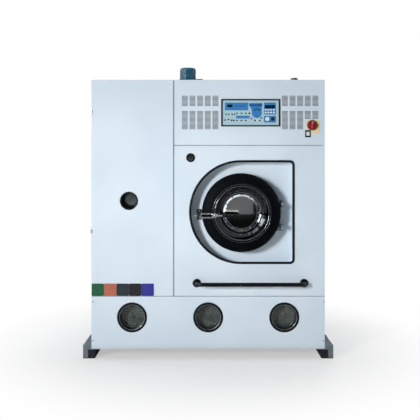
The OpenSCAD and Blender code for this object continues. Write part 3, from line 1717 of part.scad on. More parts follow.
// Keeper: base plate, post bored for the interlock pin, and the rest under the lever tip
module latch_keeper() {
  base_half = 36;
  post_h = 26;
  rest_t = 6;
  rest_top = latch_z - latch_rails_h / 2 - fit;
  color("#23282d") difference() {
    union() {
      block(
        [keeper_x0 - 2, recess_floor_y - 6, latch_z - base_half],
        [keeper_in_x, recess_floor_y - fit, latch_z + base_half]
      );
      block(
        [keeper_x0, keeper_y0, latch_z - post_h / 2],
        [keeper_x1, recess_floor_y - 5, latch_z + post_h / 2]
      );
      block([keeper_x0, lever_y0, rest_top - rest_t], [keeper_in_x, lever_y1, rest_top]);
      block([keeper_x0, lever_y0, rest_top - rest_t], [keeper_x1, lever_y1, latch_z]);
      for (s = [-1, 1])
        y_disc(keeper_x0 + 12, latch_z + s * 24, 5, recess_floor_y - 11, recess_floor_y - 5);
    }
    translate([keeper_x0 - eps, lock_y, latch_z])
      rotate([0, 90, 0]) cylinder(r=lock_d / 2 + run_fit, h=keeper_x1 - keeper_x0 + 2 * eps);
  }
}

module lock_pin() {
  len = keeper_x1 - keeper_x0 + lock_travel + 2;
  color(bright_steel)
    translate([keeper_x1 - len, lock_y, latch_z]) rotate([0, 90, 0]) cylinder(r=lock_d / 2, h=len);
}

// ---------- service door ----------

module service_door() {
  x0 = left_x;
  x1 = seam_x0;
  color(panel_white) difference() {
    union() {
      front_pan(x0, x1, mid_z0, cab_z1, service_flange);
      for (z = service_hinge_z)
        translate([service_axis_x, service_axis_y, z + knuckle_gap / 2])
          cylinder(r=hinge_knuckle_r, h=knuckle_h);
      // stiffeners across the back of the skin
      for (z = [mid_z0 + 250, mid_z1 - 250])
        block([x0 + sheet - eps, front_y + sheet - eps, z], [x1 - sheet + eps, front_y + 14, z + 30]);
    }
    for (z = service_hinge_z) {
      translate([service_axis_x, service_axis_y, z - eps])
        cylinder(r=service_pin_r + run_fit, h=knuckle_h + 2 * eps + knuckle_gap);
      // notch that clears the fixed half of the hinge
      block(
        [x0 - 12, front_y - eps, z - knuckle_h - 1],
        [service_axis_x + hinge_knuckle_r + 1, front_y + flange, z + knuckle_gap / 2]
      );
    }
    face_hole(-still_x, still_window_z, service_port_d / 2 - 6);
  }
}

module service_hinges() {
  leaf_len = 70;
  leaf_t = 2.5;
  color(bright_steel)
    for (z = service_hinge_z) {
      translate([service_axis_x, service_axis_y, z - knuckle_gap / 2 - knuckle_h])
        cylinder(r=hinge_knuckle_r, h=knuckle_h);
      translate([service_axis_x, service_axis_y, z - knuckle_h])
        cylinder(r=service_pin_r, h=2 * knuckle_h - 2);
      block(
        [left_x - fit - leaf_t, service_axis_y, z - knuckle_h - knuckle_gap / 2],
        [left_x - fit, side_y0 + leaf_len, z - knuckle_gap / 2]
      );
    }
}

module service_grommet() {
  color(rubber_black) edge_ring(-still_x, still_window_z, service_port_d, service_port_d - 20);
}

// Five coloured tiles in a row at the foot of the service door
module colour_tiles() {
  t = 2.5;
  color("#2c2f96")
    for (i = [0:tiles - 1])
      xz_plate(front_y - t - fit, front_y - fit) rounded_rect(
        left_x + 1 + i * tile_pitch,
        mid_z0 + 1,
        left_x + 1 + i * tile_pitch + tile,
        mid_z0 + 1 + tile,
        7
      );
}

frame();
feet();
foot_pads();
side_panel_left();
side_panel_right();
top_panel();
rear_panel();
upper_panel();
front_panel();
lower_panel();
recess_pan();
edge_trims();
panel_screws();
solvent_tanks();
window_flanges();
window_glasses();
handrail();
control_bezel();
control_housing();
control_displays();
membrane_keys();
switch_plate();
chimney();
top_fittings();
tub();
bearing_housing();
still();
condenser();
solvent_pump();
fan_housing();
drive_motor();
filter_housing();
pipework();
rear_connections();
door_hinge_brackets();
door_hinge_pins();
latch_keeper();
service_hinges();
drive_belt();
door_ring();
door_cone();
door_clamp_ring();
door_bolts();
door_glass();
door_gasket();
door_hinge_arm();
latch_lever();
latch_grip();
lock_pin();
drum();
drum_shaft();
drum_pulley();
motor_pulley();
fan_impeller();
service_door();
service_grommet();
colour_tiles();
main_switch_knob();
start_button();
stop_button();
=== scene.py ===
"""Dry cleaning machine: finishes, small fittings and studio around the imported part.

+X is to the right, +Y to the rear and +Z up. Lengths are in metres, and in mm where a mesh is drawn.
"""
import math

import bmesh
import bpy
from mathutils import Matrix, Vector


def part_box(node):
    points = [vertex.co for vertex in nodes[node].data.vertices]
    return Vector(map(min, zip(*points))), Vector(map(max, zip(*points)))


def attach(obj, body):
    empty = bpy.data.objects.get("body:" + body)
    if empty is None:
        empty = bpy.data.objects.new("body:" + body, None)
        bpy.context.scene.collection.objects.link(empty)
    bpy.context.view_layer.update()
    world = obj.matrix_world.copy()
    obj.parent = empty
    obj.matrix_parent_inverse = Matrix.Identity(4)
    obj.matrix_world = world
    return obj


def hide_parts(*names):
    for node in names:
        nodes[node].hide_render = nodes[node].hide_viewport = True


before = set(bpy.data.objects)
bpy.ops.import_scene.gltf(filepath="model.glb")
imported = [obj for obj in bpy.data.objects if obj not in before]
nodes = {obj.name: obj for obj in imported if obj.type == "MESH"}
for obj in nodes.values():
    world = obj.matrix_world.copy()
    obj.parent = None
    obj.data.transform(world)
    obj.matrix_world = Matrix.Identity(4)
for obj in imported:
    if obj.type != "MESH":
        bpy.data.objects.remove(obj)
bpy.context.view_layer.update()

# A millimetre, the face of the front sheets and the axis of the loading door
MM = 0.001
FRONT = round(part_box("front_panel")[0].y, 4)
door_low, door_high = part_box("door_ring")
DOOR_X = round((door_low.x + door_high.x) / 2, 4)
DOOR_Z = round((door_low.z + door_high.z) / 2, 4)


# ---------------------------------------------------------------- material tools

def linear(code):
    """An sRGB hex colour as the linear colour that a socket takes."""
    parts = [int(code[i:i + 2], 16) / 255 for i in (1, 3, 5)]
    return tuple(c / 12.92 if c <= 0.04045 else ((c + 0.055) / 1.055) ** 2.4 for c in parts) + (1.0,)


def add(tree, kind, inputs=None, **settings):
    """Adds a node, with its settings, and its inputs as values or as links."""
    made = tree.nodes.new("ShaderNode" + kind)
    for name, value in settings.items():
        setattr(made, name, value)
    for name, value in (inputs or {}).items():
        if isinstance(value, bpy.types.NodeSocket):
            tree.links.new(value, made.inputs[name])
        else:
            made.inputs[name].default_value = value
    return made


def surface(name, colour, roughness, metallic=0.0, **more):
    """A material with its even values on the shader.
    Returns the material, its tree, its shader and the place on the piece."""
    material = bpy.data.materials.new(name)
    material.use_nodes = True
    tree = material.node_tree
    shader = tree.nodes["Principled BSDF"]
    shader.inputs["Base Color"].default_value = linear(colour)
    shader.inputs["Roughness"].default_value = roughness
    shader.inputs["Metallic"].default_value = metallic
    for socket, value in more.items():
        shader.inputs[socket.replace("_", " ")].default_value = value
    material.diffuse_color = linear(colour)
    place = add(tree, "TexCoord").outputs["Object"]
    return material, tree, shader, place


def calc(tree, operation, first, second):
    """The result of a sum on two values."""
    return add(tree, "Math", {0: first, 1: second}, operation=operation).outputs[0]


def vector_calc(tree, operation, *vectors, result="Vector"):
    """The result of a sum on vectors."""
    return add(tree, "VectorMath", dict(enumerate(vectors)), operation=operation).outputs[result]


def remap(tree, value, low, high, new_low=0.0, new_high=1.0, **settings):
    """Stretches the span from low to high over the one from new_low to new_high, and stays inside it."""
    spans = {"From Min": low, "From Max": high, "To Min": new_low, "To Max": new_high}
    return add(tree, "MapRange", {"Value": value, **spans}, **settings).outputs[0]


def axis_of(tree, place, axis):
    """One coordinate of a place."""
    return add(tree, "SeparateXYZ", {0: place}).outputs[axis]


def mix(tree, share, first, second, **settings):
    """The colour that goes from first to second as share goes from 0 to 1.
    Each of the two is a hex code, a linear colour or a link."""
    first, second = [linear(c) if isinstance(c, str) else c for c in (first, second)]
    return add(tree, "Mix", {0: share, 6: first, 7: second}, data_type="RGBA", **settings).outputs[2]


def round_door(tree, place):
    """The place as seen from the door's axis, and its distance from that axis."""
    moved = add(tree, "Mapping", {"Vector": place, "Location": (-DOOR_X, 0, -DOOR_Z)}).outputs[0]
    flat = vector_calc(tree, "MULTIPLY", moved, (1, 0, 1))
    return moved, vector_calc(tree, "LENGTH", flat, result="Value")


def cloud(tree, place, size_mm, detail=2.0, stretch=(1, 1, 1), low=0.35, high=0.65):
    """A soft irregular pattern from 0 to 1 whose patches are about size_mm across, times stretch."""
    scaled = add(tree, "Mapping", {"Vector": place, "Scale": [1 / s for s in stretch]}).outputs[0]
    noise = add(tree, "TexNoise", {"Vector": scaled, "Scale": 1 / MM / size_mm, "Detail": detail})
    return remap(tree, noise.outputs[0], low, high)


def rings(tree, place, size_mm, detail=3.0):
    """Turning marks about the door's axis: a pattern that changes with the distance from it only."""
    radius = round_door(tree, place)[1]
    return add(tree, "TexNoise", {"W": radius, "Scale": 1 / MM / size_mm, "Detail": detail},
               noise_dimensions="1D").outputs[0]


def blend_colours(tree, shader, share, first, second):
    """The base colour goes from first to second as share goes from 0 to 1."""
    tree.links.new(mix(tree, share, first, second), shader.inputs["Base Color"])


def vary_roughness(tree, shader, share, low, high):
    """The roughness goes from low to high as share goes from 0 to 1."""
    tree.links.new(remap(tree, share, 0.0, 1.0, low, high), shader.inputs["Roughness"])


def raise_surface(tree, shader, height, depth_mm, strength=1.0):
    """A bump of depth_mm from height 0 to height 1."""
    bump = add(tree, "Bump", {"Height": height, "Distance": depth_mm * MM, "Strength": strength})
    tree.links.new(bump.outputs[0], shader.inputs["Normal"])


# ---------------------------------------------------------------- finishes

def powder_coated_sheet():
    """Steel sheet with a stoved polyester powder coat: satin, with a fine orange peel, and a darker grey
    towards the bottom, from 100 mm above the floor down. The real peel is about 2 mm; it is drawn at 6 mm
    so that it shows."""
    darker_band_top, darker_band_foot, darker_band_share = 0.10, 0.068, 0.35
    m, t, s, place = surface("powder_coated_sheet", "#dceaf5", 0.38)
    clean = mix(t, cloud(t, place, 420, 1.0), "#d8e7f3", "#e0edf7")
    # Darker grey towards the bottom, from 100 mm above the floor down to 68 mm.
    darker_band = remap(t, axis_of(t, place, "Z"), darker_band_top, darker_band_foot, 0.0, darker_band_share)
    blend_colours(t, s, darker_band, clean, "#b9bdbb")
    vary_roughness(t, s, cloud(t, place, 60), 0.34, 0.42)
    raise_surface(t, s, cloud(t, place, 6, 1.0, low=0.2, high=0.8), 0.05, 0.35)
    return m


def primed_tube():
    """Welded square steel tube under a grey primer: dull, slightly patchy, with a faint mill grain."""
    m, t, s, place = surface("primed_tube", "#6f7a84", 0.55)
    blend_colours(t, s, cloud(t, place, 90, 3.0), "#66717b", "#79838c")
    raise_surface(t, s, cloud(t, place, 3, 3.0), 0.08, 0.5)
    return m


def painted_foot_plate():
    """Hot-rolled plate with a grey machine enamel: slightly uneven under it, and scuffed near the floor."""
    scuff_top = 0.03
    m, t, s, place = surface("painted_foot_plate", "#69747d", 0.45)
    worn = remap(t, axis_of(t, place, "Z"), scuff_top, 0.0)
    scuffs = calc(t, "MULTIPLY", worn, cloud(t, place, 9, 4.0, low=0.45, high=0.6))
    enamel = mix(t, cloud(t, place, 40, 3.0), "#616c75", "#727d86")
    blend_colours(t, s, scuffs, enamel, "#5c5650")
    raise_surface(t, s, cloud(t, place, 5, 3.0), 0.12, 0.5)
    return m


def textured_black_casting():
    """Cast aluminium with a black fine-texture coat: near black and quite matte, with a fine even grain."""
    m, t, s, place = surface("textured_black_casting", "#05080c", 0.58, Specular_IOR_Level=0.03)
    blend_colours(t, s, cloud(t, place, 30, 3.0), "#04070a", "#080b10")
    vary_roughness(t, s, cloud(t, place, 12, 2.0), 0.52, 0.64)
    raise_surface(t, s, cloud(t, place, 2.2, 2.0, low=0.2, high=0.8), 0.10, 0.6)
    return m


def perforated_stainless():
    """Drum sheet: cold-rolled stainless with rows of 5 mm holes 12 mm apart, round the shell and across the
    rear wall. The holes are not cut: each is a slight dip coloured near black, painted shade for the dark
    seen through it."""
    pitch, hole_rim, hole_floor = 0.012, 0.0029, 0.0024
    shell_from, shell_r = 0.394, 0.4
    m, t, s, place = surface("perforated_stainless", "#a3a9ac", 0.32, 1.0)
    moved, radius = round_door(t, place)
    across, deep, up = [axis_of(t, moved, axis) for axis in "XYZ"]
    round_it = calc(t, "MULTIPLY", calc(t, "ARCTAN2", across, up), shell_r)
    on_shell = add(t, "CombineXYZ", {0: round_it, 1: deep}).outputs[0]
    on_wall = add(t, "CombineXYZ", {0: across, 1: up}).outputs[0]
    shell = calc(t, "GREATER_THAN", radius, shell_from)
    spot = add(t, "Mix", {0: shell, 4: on_wall, 5: on_shell}, data_type="VECTOR").outputs[1]
    cell = vector_calc(t, "ABSOLUTE", vector_calc(t, "MODULO", spot, (pitch, pitch, pitch)))
    off = vector_calc(t, "DISTANCE", cell, (pitch / 2, pitch / 2, 0), result="Value")
    hole = remap(t, off, hole_rim, hole_floor)
    sheet = mix(t, cloud(t, place, 120, 4.0), "#989ea1", "#adb2b5")
    # The near-black dots are painted shade: the dark one would see through each hole.
    blend_colours(t, s, hole, sheet, "#0c0e0f")
    vary_roughness(t, s, hole, 0.30, 0.85)
    raise_surface(t, s, hole, -0.6, 0.6)
    return m


def extruded_rubber(name="extruded_rubber", colour="#090c10", dusty="#12161b"):
    """Extruded EPDM: black, soft sheen, with a dusty bloom in patches and faint lengthwise drag."""
    m, t, s, place = surface(name, colour, 0.55, Specular_IOR_Level=0.15)
    blend_colours(t, s, cloud(t, place, 25, 4.0), colour, dusty)
    vary_roughness(t, s, cloud(t, place, 8, 3.0), 0.48, 0.66)
    raise_surface(t, s, cloud(t, place, 1.6, 2.0), 0.05, 0.5)
    return m


def slot_shade_foam():
    """Open-cell polyether foam: black, without any shine, with pores about 2 mm wide.
    Set behind the cooling slots, its black gives them painted shade.
    """
    m, t, s, place = surface("slot_shade_foam", "#07090b", 0.95, Specular_IOR_Level=0.05)
    pores = cloud(t, place, 2.0, 3.0, low=0.4, high=0.6)
    blend_colours(t, s, pores, "#040506", "#0c0f12")
    raise_surface(t, s, pores, 0.8, 0.8)
    return m


def gloss_black_tube():
    """Steel tube with a gloss black powder coat: deep black, with a clear line of light and a slight peel."""
    m, t, s, place = surface("gloss_black_tube", "#04080d", 0.24, Specular_IOR_Level=0.2)
    blend_colours(t, s, cloud(t, place, 80, 1.0), "#03070b", "#070c12")
    vary_roughness(t, s, cloud(t, place, 30), 0.20, 0.30)
    raise_surface(t, s, cloud(t, place, 5, 1.0), 0.04, 0.4)
    return m


def turned_stainless(name="turned_stainless", colour="#8b9094", roughness=0.10, lines_mm=1.3, depth_mm=0.02):
    """Spun stainless steel polished on the lathe: mirror-like, with fine turning lines about the door's
    axis, and a base darker than real stainless: painted reflection of dark surroundings.
    Real lines are 0.2 mm apart; they are drawn wider so that they show."""
    m, t, s, place = surface(name, colour, roughness, 1.0)
    lines = rings(t, place, lines_mm)
    vary_roughness(t, s, lines, roughness * 0.7, roughness * 1.6)
    raise_surface(t, s, lines, depth_mm, 0.35)
    return m


def brushed_stainless(name="brushed_stainless", colour="#b4b9bd", stretch=(40, 1, 1), roughness=0.30):
    """Stainless sheet with a hairline grain from belt grinding: bright, with streaks along one way.
    Real scratches are 0.1 mm apart; they are drawn at 0.8 mm."""
    m, t, s, place = surface(name, colour, roughness, 1.0)
    grain = cloud(t, place, 0.8, 3.0, stretch=stretch)
    vary_roughness(t, s, grain, roughness - 0.08, roughness + 0.10)
    raise_surface(t, s, grain, 0.02, 0.4)
    return m


def rolled_stainless():
    """Cold-rolled stainless sheet, mill finish, as on the tanks: grey, cloudy and softly mirroring."""
    m, t, s, place = surface("rolled_stainless", "#a3a9ac", 0.34, 1.0)
    blend_colours(t, s, cloud(t, place, 120, 4.0), "#989ea1", "#adb2b5")
    vary_roughness(t, s, cloud(t, place, 35, 4.0), 0.28, 0.42)
    raise_surface(t, s, cloud(t, place, 4, 3.0), 0.03, 0.4)
    return m


def chromed_steel():
    """Steel polished and chromed: a sharp cool mirror with only the faintest haze."""
    m, t, s, place = surface("chromed_steel", "#c4c8cb", 0.09, 1.0)
    vary_roughness(t, s, cloud(t, place, 14, 3.0), 0.06, 0.15)
    raise_surface(t, s, cloud(t, place, 9, 2.0), 0.02, 0.25)
    return m


def sand_cast_iron():
    """Grey iron from a sand mould, painted dark: coarse dull grain."""
    m, t, s, place = surface("sand_cast_iron", "#34383b", 0.62, 0.2)
    blend_colours(t, s, cloud(t, place, 15, 4.0), "#2e3235", "#3d4144")
    raise_surface(t, s, cloud(t, place, 2.5, 4.0), 0.25, 0.7)
    return m


def bright_zinc(name="bright_zinc", colour="#aeb4b8", deep="#a2a9ad", pale="#bac0c3"):
    """Zinc-plated steel of screws and brackets: pale blue-grey metal with soft mottling; or blackened."""
    m, t, s, place = surface(name, colour, 0.34, 0.9)
    blend_colours(t, s, cloud(t, place, 4, 3.0), deep, pale)
    vary_roughness(t, s, cloud(t, place, 2, 2.0), 0.28, 0.42)
    return m


def cast_brass():
    """Turned brass fittings: yellow metal, dulled in patches where it was handled."""
    m, t, s, place = surface("cast_brass", "#b08d4f", 0.30, 1.0)
    blend_colours(t, s, cloud(t, place, 12, 4.0), "#9b7a40", "#be9c5e")
    vary_roughness(t, s, cloud(t, place, 6, 3.0), 0.22, 0.42)
    return m


def drawn_copper():
    """Drawn copper tube: warm red metal with brown oxide clouds."""
    m, t, s, place = surface("drawn_copper", "#b5714a", 0.30, 1.0)
    blend_colours(t, s, cloud(t, place, 35, 5.0), "#8c5234", "#c07e56")
    vary_roughness(t, s, cloud(t, place, 20, 3.0), 0.22, 0.42)
    return m


def door_glass():
    """Toughened float glass of the door: clear with a faint grey-green body and wiping haze."""
    m, t, s, place = surface("toughened_glass", "#7d8684", 0.02, IOR=1.52, Transmission_Weight=1.0)
    vary_roughness(t, s, cloud(t, place, 60, 3.0), 0.01, 0.05)
    return m


def tank_glass():
    """Wired glass of the tank windows: dark grey-green, with a faint square wire mesh and a wet streaky film.
    The windows above the tanks are paler."""
    half_mesh, wire_rim, wire_core = 0.0075, 0.0020, 0.0006
    above_tanks = 0.9
    m, t, s, place = surface("wired_tank_glass", "#3c4542", 0.08, IOR=1.52, Transmission_Weight=0.55)
    wires = []
    for axis in "XZ":
        wave = calc(t, "PINGPONG", axis_of(t, place, axis), half_mesh)
        wires.append(remap(t, wave, wire_rim, wire_core))
    grid = calc(t, "MAXIMUM", *wires)
    share = calc(t, "MULTIPLY", grid, cloud(t, place, 70, 2.0, low=0.42, high=0.58))
    film = cloud(t, place, 30, 4.0)
    wet = mix(t, film, "#434e4a", "#66726e")
    above = calc(t, "GREATER_THAN", axis_of(t, place, "Z"), above_tanks)
    blend_colours(t, s, share, mix(t, above, wet, "#a3afad"), "#a2aca6")
    vary_roughness(t, s, film, 0.05, 0.16)
    return m


def printed_foil():
    """Polyester keypad foil printed pale aqua from behind: smooth, with broad warmer and cooler patches."""
    m, t, s, place = surface("printed_foil", "#b1d3da", 0.30)
    blend_colours(t, s, cloud(t, place, 70, 1.0), "#add4d7", "#b4cfde")
    raise_surface(t, s, cloud(t, place, 3, 1.0), 0.02, 0.3)
    return m


def foil_ink(name, colour, deep):
    """Screen ink on the keypad foil: flat colour with a slightly uneven lay and the foil's own gloss."""
    m, t, s, place = surface(name, colour, 0.32)
    blend_colours(t, s, cloud(t, place, 16, 3.0), deep, colour)
    return m


def display_window():
    """Smoked acrylic over the digits: near black with a blue-green cast, and shiny."""
    m, t, s, place = surface("smoked_display_window", "#0b2533", 0.12)
    blend_colours(t, s, cloud(t, place, 18, 2.0), "#071a26", "#10303c")
    return m


def domed_keys():
    """Embossed keycaps of the foil: white on the right keypad and deep blue on the left one, softly domed."""
    right_from = 0.33
    m, t, s, place = surface("embossed_keys", "#e6f3fb", 0.30)
    right = calc(t, "GREATER_THAN", axis_of(t, place, "X"), right_from)
    white = mix(t, cloud(t, place, 6, 2.0), "#dfeef8", "#eef8fd")
    blend_colours(t, s, right, "#1d4f9a", white)
    return m


def moulded_plastic(name, colour, deep, roughness=0.36, grain_mm=1.5, shine=0.5):
    """Injection-moulded plastic: even colour through its thickness, with a fine spark-eroded mould grain."""
    m, t, s, place = surface(name, colour, roughness, Specular_IOR_Level=shine)
    blend_colours(t, s, cloud(t, place, 20, 2.0), deep, colour)
    vary_roughness(t, s, cloud(t, place, 5, 2.0), roughness - 0.05, roughness + 0.08)
    raise_surface(t, s, cloud(t, place, grain_mm, 2.0), 0.03, 0.4)
    return m


def tile_colours():
    """Screen-printed vinyl of the five square tiles: satin, one colour each from left to right."""
    first_edge, last_edge = -0.7998, -0.3723
    shades = ("#0f5a38", "#c0694f", "#1d2a33", "#11111c", "#2c2f96")
    uneven = (0.9, 0.92, 0.95, 1.0)
    m, t, s, place = surface("printed_vinyl_tiles", shades[0], 0.33)
    ramp = add(t, "ValToRGB", {0: remap(t, axis_of(t, place, "X"), first_edge, last_edge)})
    ramp.color_ramp.interpolation = "CONSTANT"
    while len(ramp.color_ramp.elements) < len(shades):
        ramp.color_ramp.elements.new(0.5)
    for i, shade in enumerate(shades):
        ramp.color_ramp.elements[i].position = i / len(shades)
        ramp.color_ramp.elements[i].color = linear(shade)
    soft = mix(t, cloud(t, place, 40, 2.0), ramp.outputs[0], uneven, blend_type="MULTIPLY")
    t.links.new(soft, s.inputs["Base Color"])
    raise_surface(t, s, cloud(t, place, 4, 1.0), 0.02, 0.3)
    return m


def machine_enamel(name, colour, deep):
    """Brushed-on machine enamel over a casting, as on motors and pumps: glossy, thick, slightly lumpy."""
    m, t, s, place = surface(name, colour, 0.32)
    blend_colours(t, s, cloud(t, place, 50, 3.0), deep, colour)
    raise_surface(t, s, cloud(t, place, 6, 3.0), 0.15, 0.5)
    return m


def blue_reflection_pipe():
    """Polished exhaust stub drawn as a blue-black gloss: its blue-teal colour is painted reflection of dark
    surroundings, and it mirrors a bright upright streak.
    """
    m, t, s, place = surface("gloss_blue_painted_reflection", "#16506b", 0.20, Specular_IOR_Level=0.35)
    # Blue-teal in patches: painted reflection.
    blend_colours(t, s, cloud(t, place, 30, 2.0), "#124259", "#1c5f7c")
    vary_roughness(t, s, cloud(t, place, 14, 3.0), 0.14, 0.30)
    raise_surface(t, s, cloud(t, place, 9, 1.0), 0.10, 0.6)
    return m


coat = powder_coated_sheet()
tube = primed_tube()
foot = painted_foot_plate()
casting = textured_black_casting()
rubber = extruded_rubber()
pad_rubber = extruded_rubber("moulded_rubber_pad", "#1a1f24", "#2a3036")
rail = gloss_black_tube()
# The cone and the clamp ring take dark bases so that they mirror dark: painted reflection.
turned = turned_stainless("turned_stainless", "#6e7377", 0.055, 1.6, 0.014)
clamp = turned_stainless("turned_clamp_ring", "#8d9296", 0.05, 0.9, 0.003)
# The window flanges: brushed stainless darkened to a mid grey, painted shade.
shade_darkened_flange_steel = brushed_stainless("painted_shade_flange_steel", "#7b8387", (1, 1, 1), 0.30)
drum_sheet = perforated_stainless()
brushed = brushed_stainless()
rolled = rolled_stainless()
chrome = chromed_steel()
iron = sand_cast_iron()
zinc = bright_zinc()
blackened = bright_zinc("blackened_steel", "#2c3034", "#25282c", "#363b40")
foam = slot_shade_foam()
brass = cast_brass()
copper = drawn_copper()
glass = door_glass()
dark_glass = tank_glass()
foil = printed_foil()
display = display_window()
keys = domed_keys()
yellow = moulded_plastic("yellow_switch_plate", "#efe2bb", "#e8d6a4", 0.40)
red = moulded_plastic("red_switch_knob", "#a31d22", "#8d1519", 0.26)
black_plastic = moulded_plastic("black_moulded_plastic", "#0c1014", "#080b0e", 0.38)
white_plastic = moulded_plastic("white_push_button", "#e9f1f6", "#dbe6ee", 0.26)
tiles = tile_colours()
motor_paint = machine_enamel("grey_machine_enamel", "#5b6a75", "#4d5b66")
pump_paint = machine_enamel("blue_machine_enamel", "#2f5f86", "#254d70")
# Hinge enamel in two greys, both chosen so that the hinge matches the ring's shadow it sits in: painted
# shade. Slate for the arm and pins, pale for the brackets.
shade_toned_hinge = machine_enamel("shade_toned_slate_hinge_enamel", "#6d7983", "#636e78")
pale_shade_toned_hinge = machine_enamel("shade_toned_pale_hinge_enamel", "#95a2ad", "#8b98a3")
stack = blue_reflection_pipe()

finish_of = {
    "frame": tube, "feet": foot, "foot_pads": pad_rubber, "side_panel_left": coat,
    "side_panel_right": coat, "top_panel": coat, "rear_panel": coat, "upper_panel": coat,
    "front_panel": coat, "lower_panel": coat, "recess_pan": coat, "edge_trims": rubber,
    "panel_screws": zinc, "solvent_tanks": rolled, "window_flanges": shade_darkened_flange_steel,
    "window_glasses": dark_glass, "handrail": rail, "control_bezel": black_plastic,
    "control_housing": foil, "control_displays": display, "membrane_keys": keys, "switch_plate": yellow,
    "chimney": stack, "top_fittings": black_plastic, "tub": rolled, "bearing_housing": iron,
    "still": brushed, "condenser": brushed, "solvent_pump": pump_paint, "fan_housing": rolled,
    "drive_motor": motor_paint, "filter_housing": brushed, "pipework": copper,
    "rear_connections": brass, "door_hinge_brackets": pale_shade_toned_hinge, "door_hinge_pins": shade_toned_hinge,
    "latch_keeper": black_plastic, "service_hinges": zinc, "drive_belt": rubber, "door_ring": casting,
    "door_cone": turned, "door_clamp_ring": clamp, "door_bolts": zinc, "door_glass": glass,
    "door_gasket": rubber, "door_hinge_arm": shade_toned_hinge, "latch_lever": chrome,
    "latch_grip": black_plastic, "lock_pin": chrome, "drum": drum_sheet, "drum_shaft": brushed,
    "drum_pulley": iron, "motor_pulley": iron, "fan_impeller": zinc, "service_door": coat,
    "service_grommet": rubber, "colour_tiles": tiles, "main_switch_knob": red,
    "start_button": white_plastic, "stop_button": black_plastic,
}
for name, obj in nodes.items():
    obj.data.materials.clear()
    obj.data.materials.append(finish_of[name])


# ---------------------------------------------------------------- mesh tools (lengths in mm)

def new_object(name, bm, finishes):
    """Turns a bmesh into an object of the scene with its finishes."""
    mesh = bpy.data.meshes.new(name)
    bm.to_mesh(mesh)
    bm.free()
    for each in finishes:
        mesh.materials.append(each)
    obj = bpy.data.objects.new(name, mesh)
    bpy.context.scene.collection.objects.link(obj)
    return obj


def piece(name, bm, finishes, body="cabinet", corner=35, standing_for=()):
    """Turns a bmesh in mm into a piece with its finishes that rides on a body of the part.
    Edges past corner degrees stay sharp."""
    bmesh.ops.scale(bm, vec=(MM, MM, MM), verts=bm.verts)
    obj = new_object(name, bm, finishes)
    obj.data.polygons.foreach_set("use_smooth", [True] * len(obj.data.polygons))
    obj.data.set_sharp_from_angle(angle=math.radians(corner))
    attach(obj, body)
    if standing_for:
        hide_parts(*standing_for)
    return obj


def corners_of(faces):
    """The vertices of faces, each once."""
    return list(dict.fromkeys(v for f in faces for v in f.verts))


def edges_at(verts):
    """The edges that meet at vertices, each once."""
    return list(dict.fromkeys(e for v in verts for e in v.link_edges))


def settle(bm, old_faces, finish, matrix=None):
    """Finishes the faces made since old_faces was taken: merged, pointing outwards, placed and coloured."""
    new = [f for f in bm.faces if f not in old_faces]
    bmesh.ops.remove_doubles(bm, verts=corners_of(new), dist=0.001)
    new = [f for f in bm.faces if f not in old_faces]
    bmesh.ops.recalc_face_normals(bm, faces=new)
    if matrix is not None:
        bmesh.ops.transform(bm, matrix=matrix, verts=corners_of(new))
    for face in new:
        face.material_index = finish


def facing(place, along):
    """The matrix that puts a shape made about +Z at place, turned along a direction."""
    return Matrix.Translation(Vector(place)) @ Vector(along).to_track_quat("Z", "Y").to_matrix().to_4x4()


def round_edges(bm, edges, round_by, steps):
    """Rounds edges to a radius, in a number of steps."""
    bmesh.ops.bevel(bm, geom=edges, offset=round_by, affect="EDGES", segments=steps, profile=0.5, material=-1)


def pull(bm, face, shift):
    """Carries a face by shift, with walls behind it, and returns what was made."""
    grown = bmesh.ops.extrude_face_region(bm, geom=[face])["geom"]
    bmesh.ops.translate(bm, vec=shift, verts=[g for g in grown if isinstance(g, bmesh.types.BMVert)])
    return grown


def block(bm, low, high, round_by=0.0, steps=2, finish=0):
    """A box from its low to its high corner, with its edges rounded."""
    old = set(bm.faces)
    verts = bmesh.ops.create_cube(bm, size=1.0)["verts"]
    bmesh.ops.scale(bm, vec=[b - a for a, b in zip(low, high)], verts=verts)
    bmesh.ops.translate(bm, vec=[(a + b) / 2 for a, b in zip(low, high)], verts=verts)
    if round_by:
        round_edges(bm, edges_at(verts), round_by, steps)
    settle(bm, old, finish)


def plate(bm, outline, y_front, y_back, round_by=0.0, steps=2, finish=0):
    """A flat plate facing the front, from an outline of (x, z) points, with its front edge rounded."""
    old = set(bm.faces)
    face = bm.faces.new([bm.verts.new((x, y_back, z)) for x, z in outline])
    grown = pull(bm, face, (0, y_front - y_back, 0))
    if round_by:
        round_edges(bm, [g for g in grown if isinstance(g, bmesh.types.BMEdge)], round_by, steps)
    settle(bm, old, finish)


def rounded(x0, z0, x1, z1, radius, steps=5):
    """Outline of a rectangle with round corners."""
    points = []
    for cx, cz, start in ((x1 - radius, z0 + radius, -90), (x1 - radius, z1 - radius, 0),
                          (x0 + radius, z1 - radius, 90), (x0 + radius, z0 + radius, 180)):
        for i in range(steps + 1):
            a = math.radians(start + 90 * i / steps)
            points.append((cx + radius * math.cos(a), cz + radius * math.sin(a)))
    return points


def oval(x, z, half_x, half_z, steps=20):
    """Outline of an ellipse."""
    return [(x + half_x * math.cos(math.tau * i / steps), z + half_z * math.sin(math.tau * i / steps))
            for i in range(steps)]


def turned_part(bm, place, along, profile, steps=48, finish=0):
    """Spins a profile of (radius, distance) points about an axis from place along a direction."""
    old = set(bm.faces)
    verts = [bm.verts.new((r, 0, d)) for r, d in profile]
    edges = [bm.edges.new(pair) for pair in zip(verts, verts[1:])]
    bmesh.ops.spin(bm, geom=verts + edges, cent=(0, 0, 0), axis=(0, 0, 1), angle=math.tau, steps=steps,
                   use_merge=True)
    settle(bm, old, finish, facing(place, along))


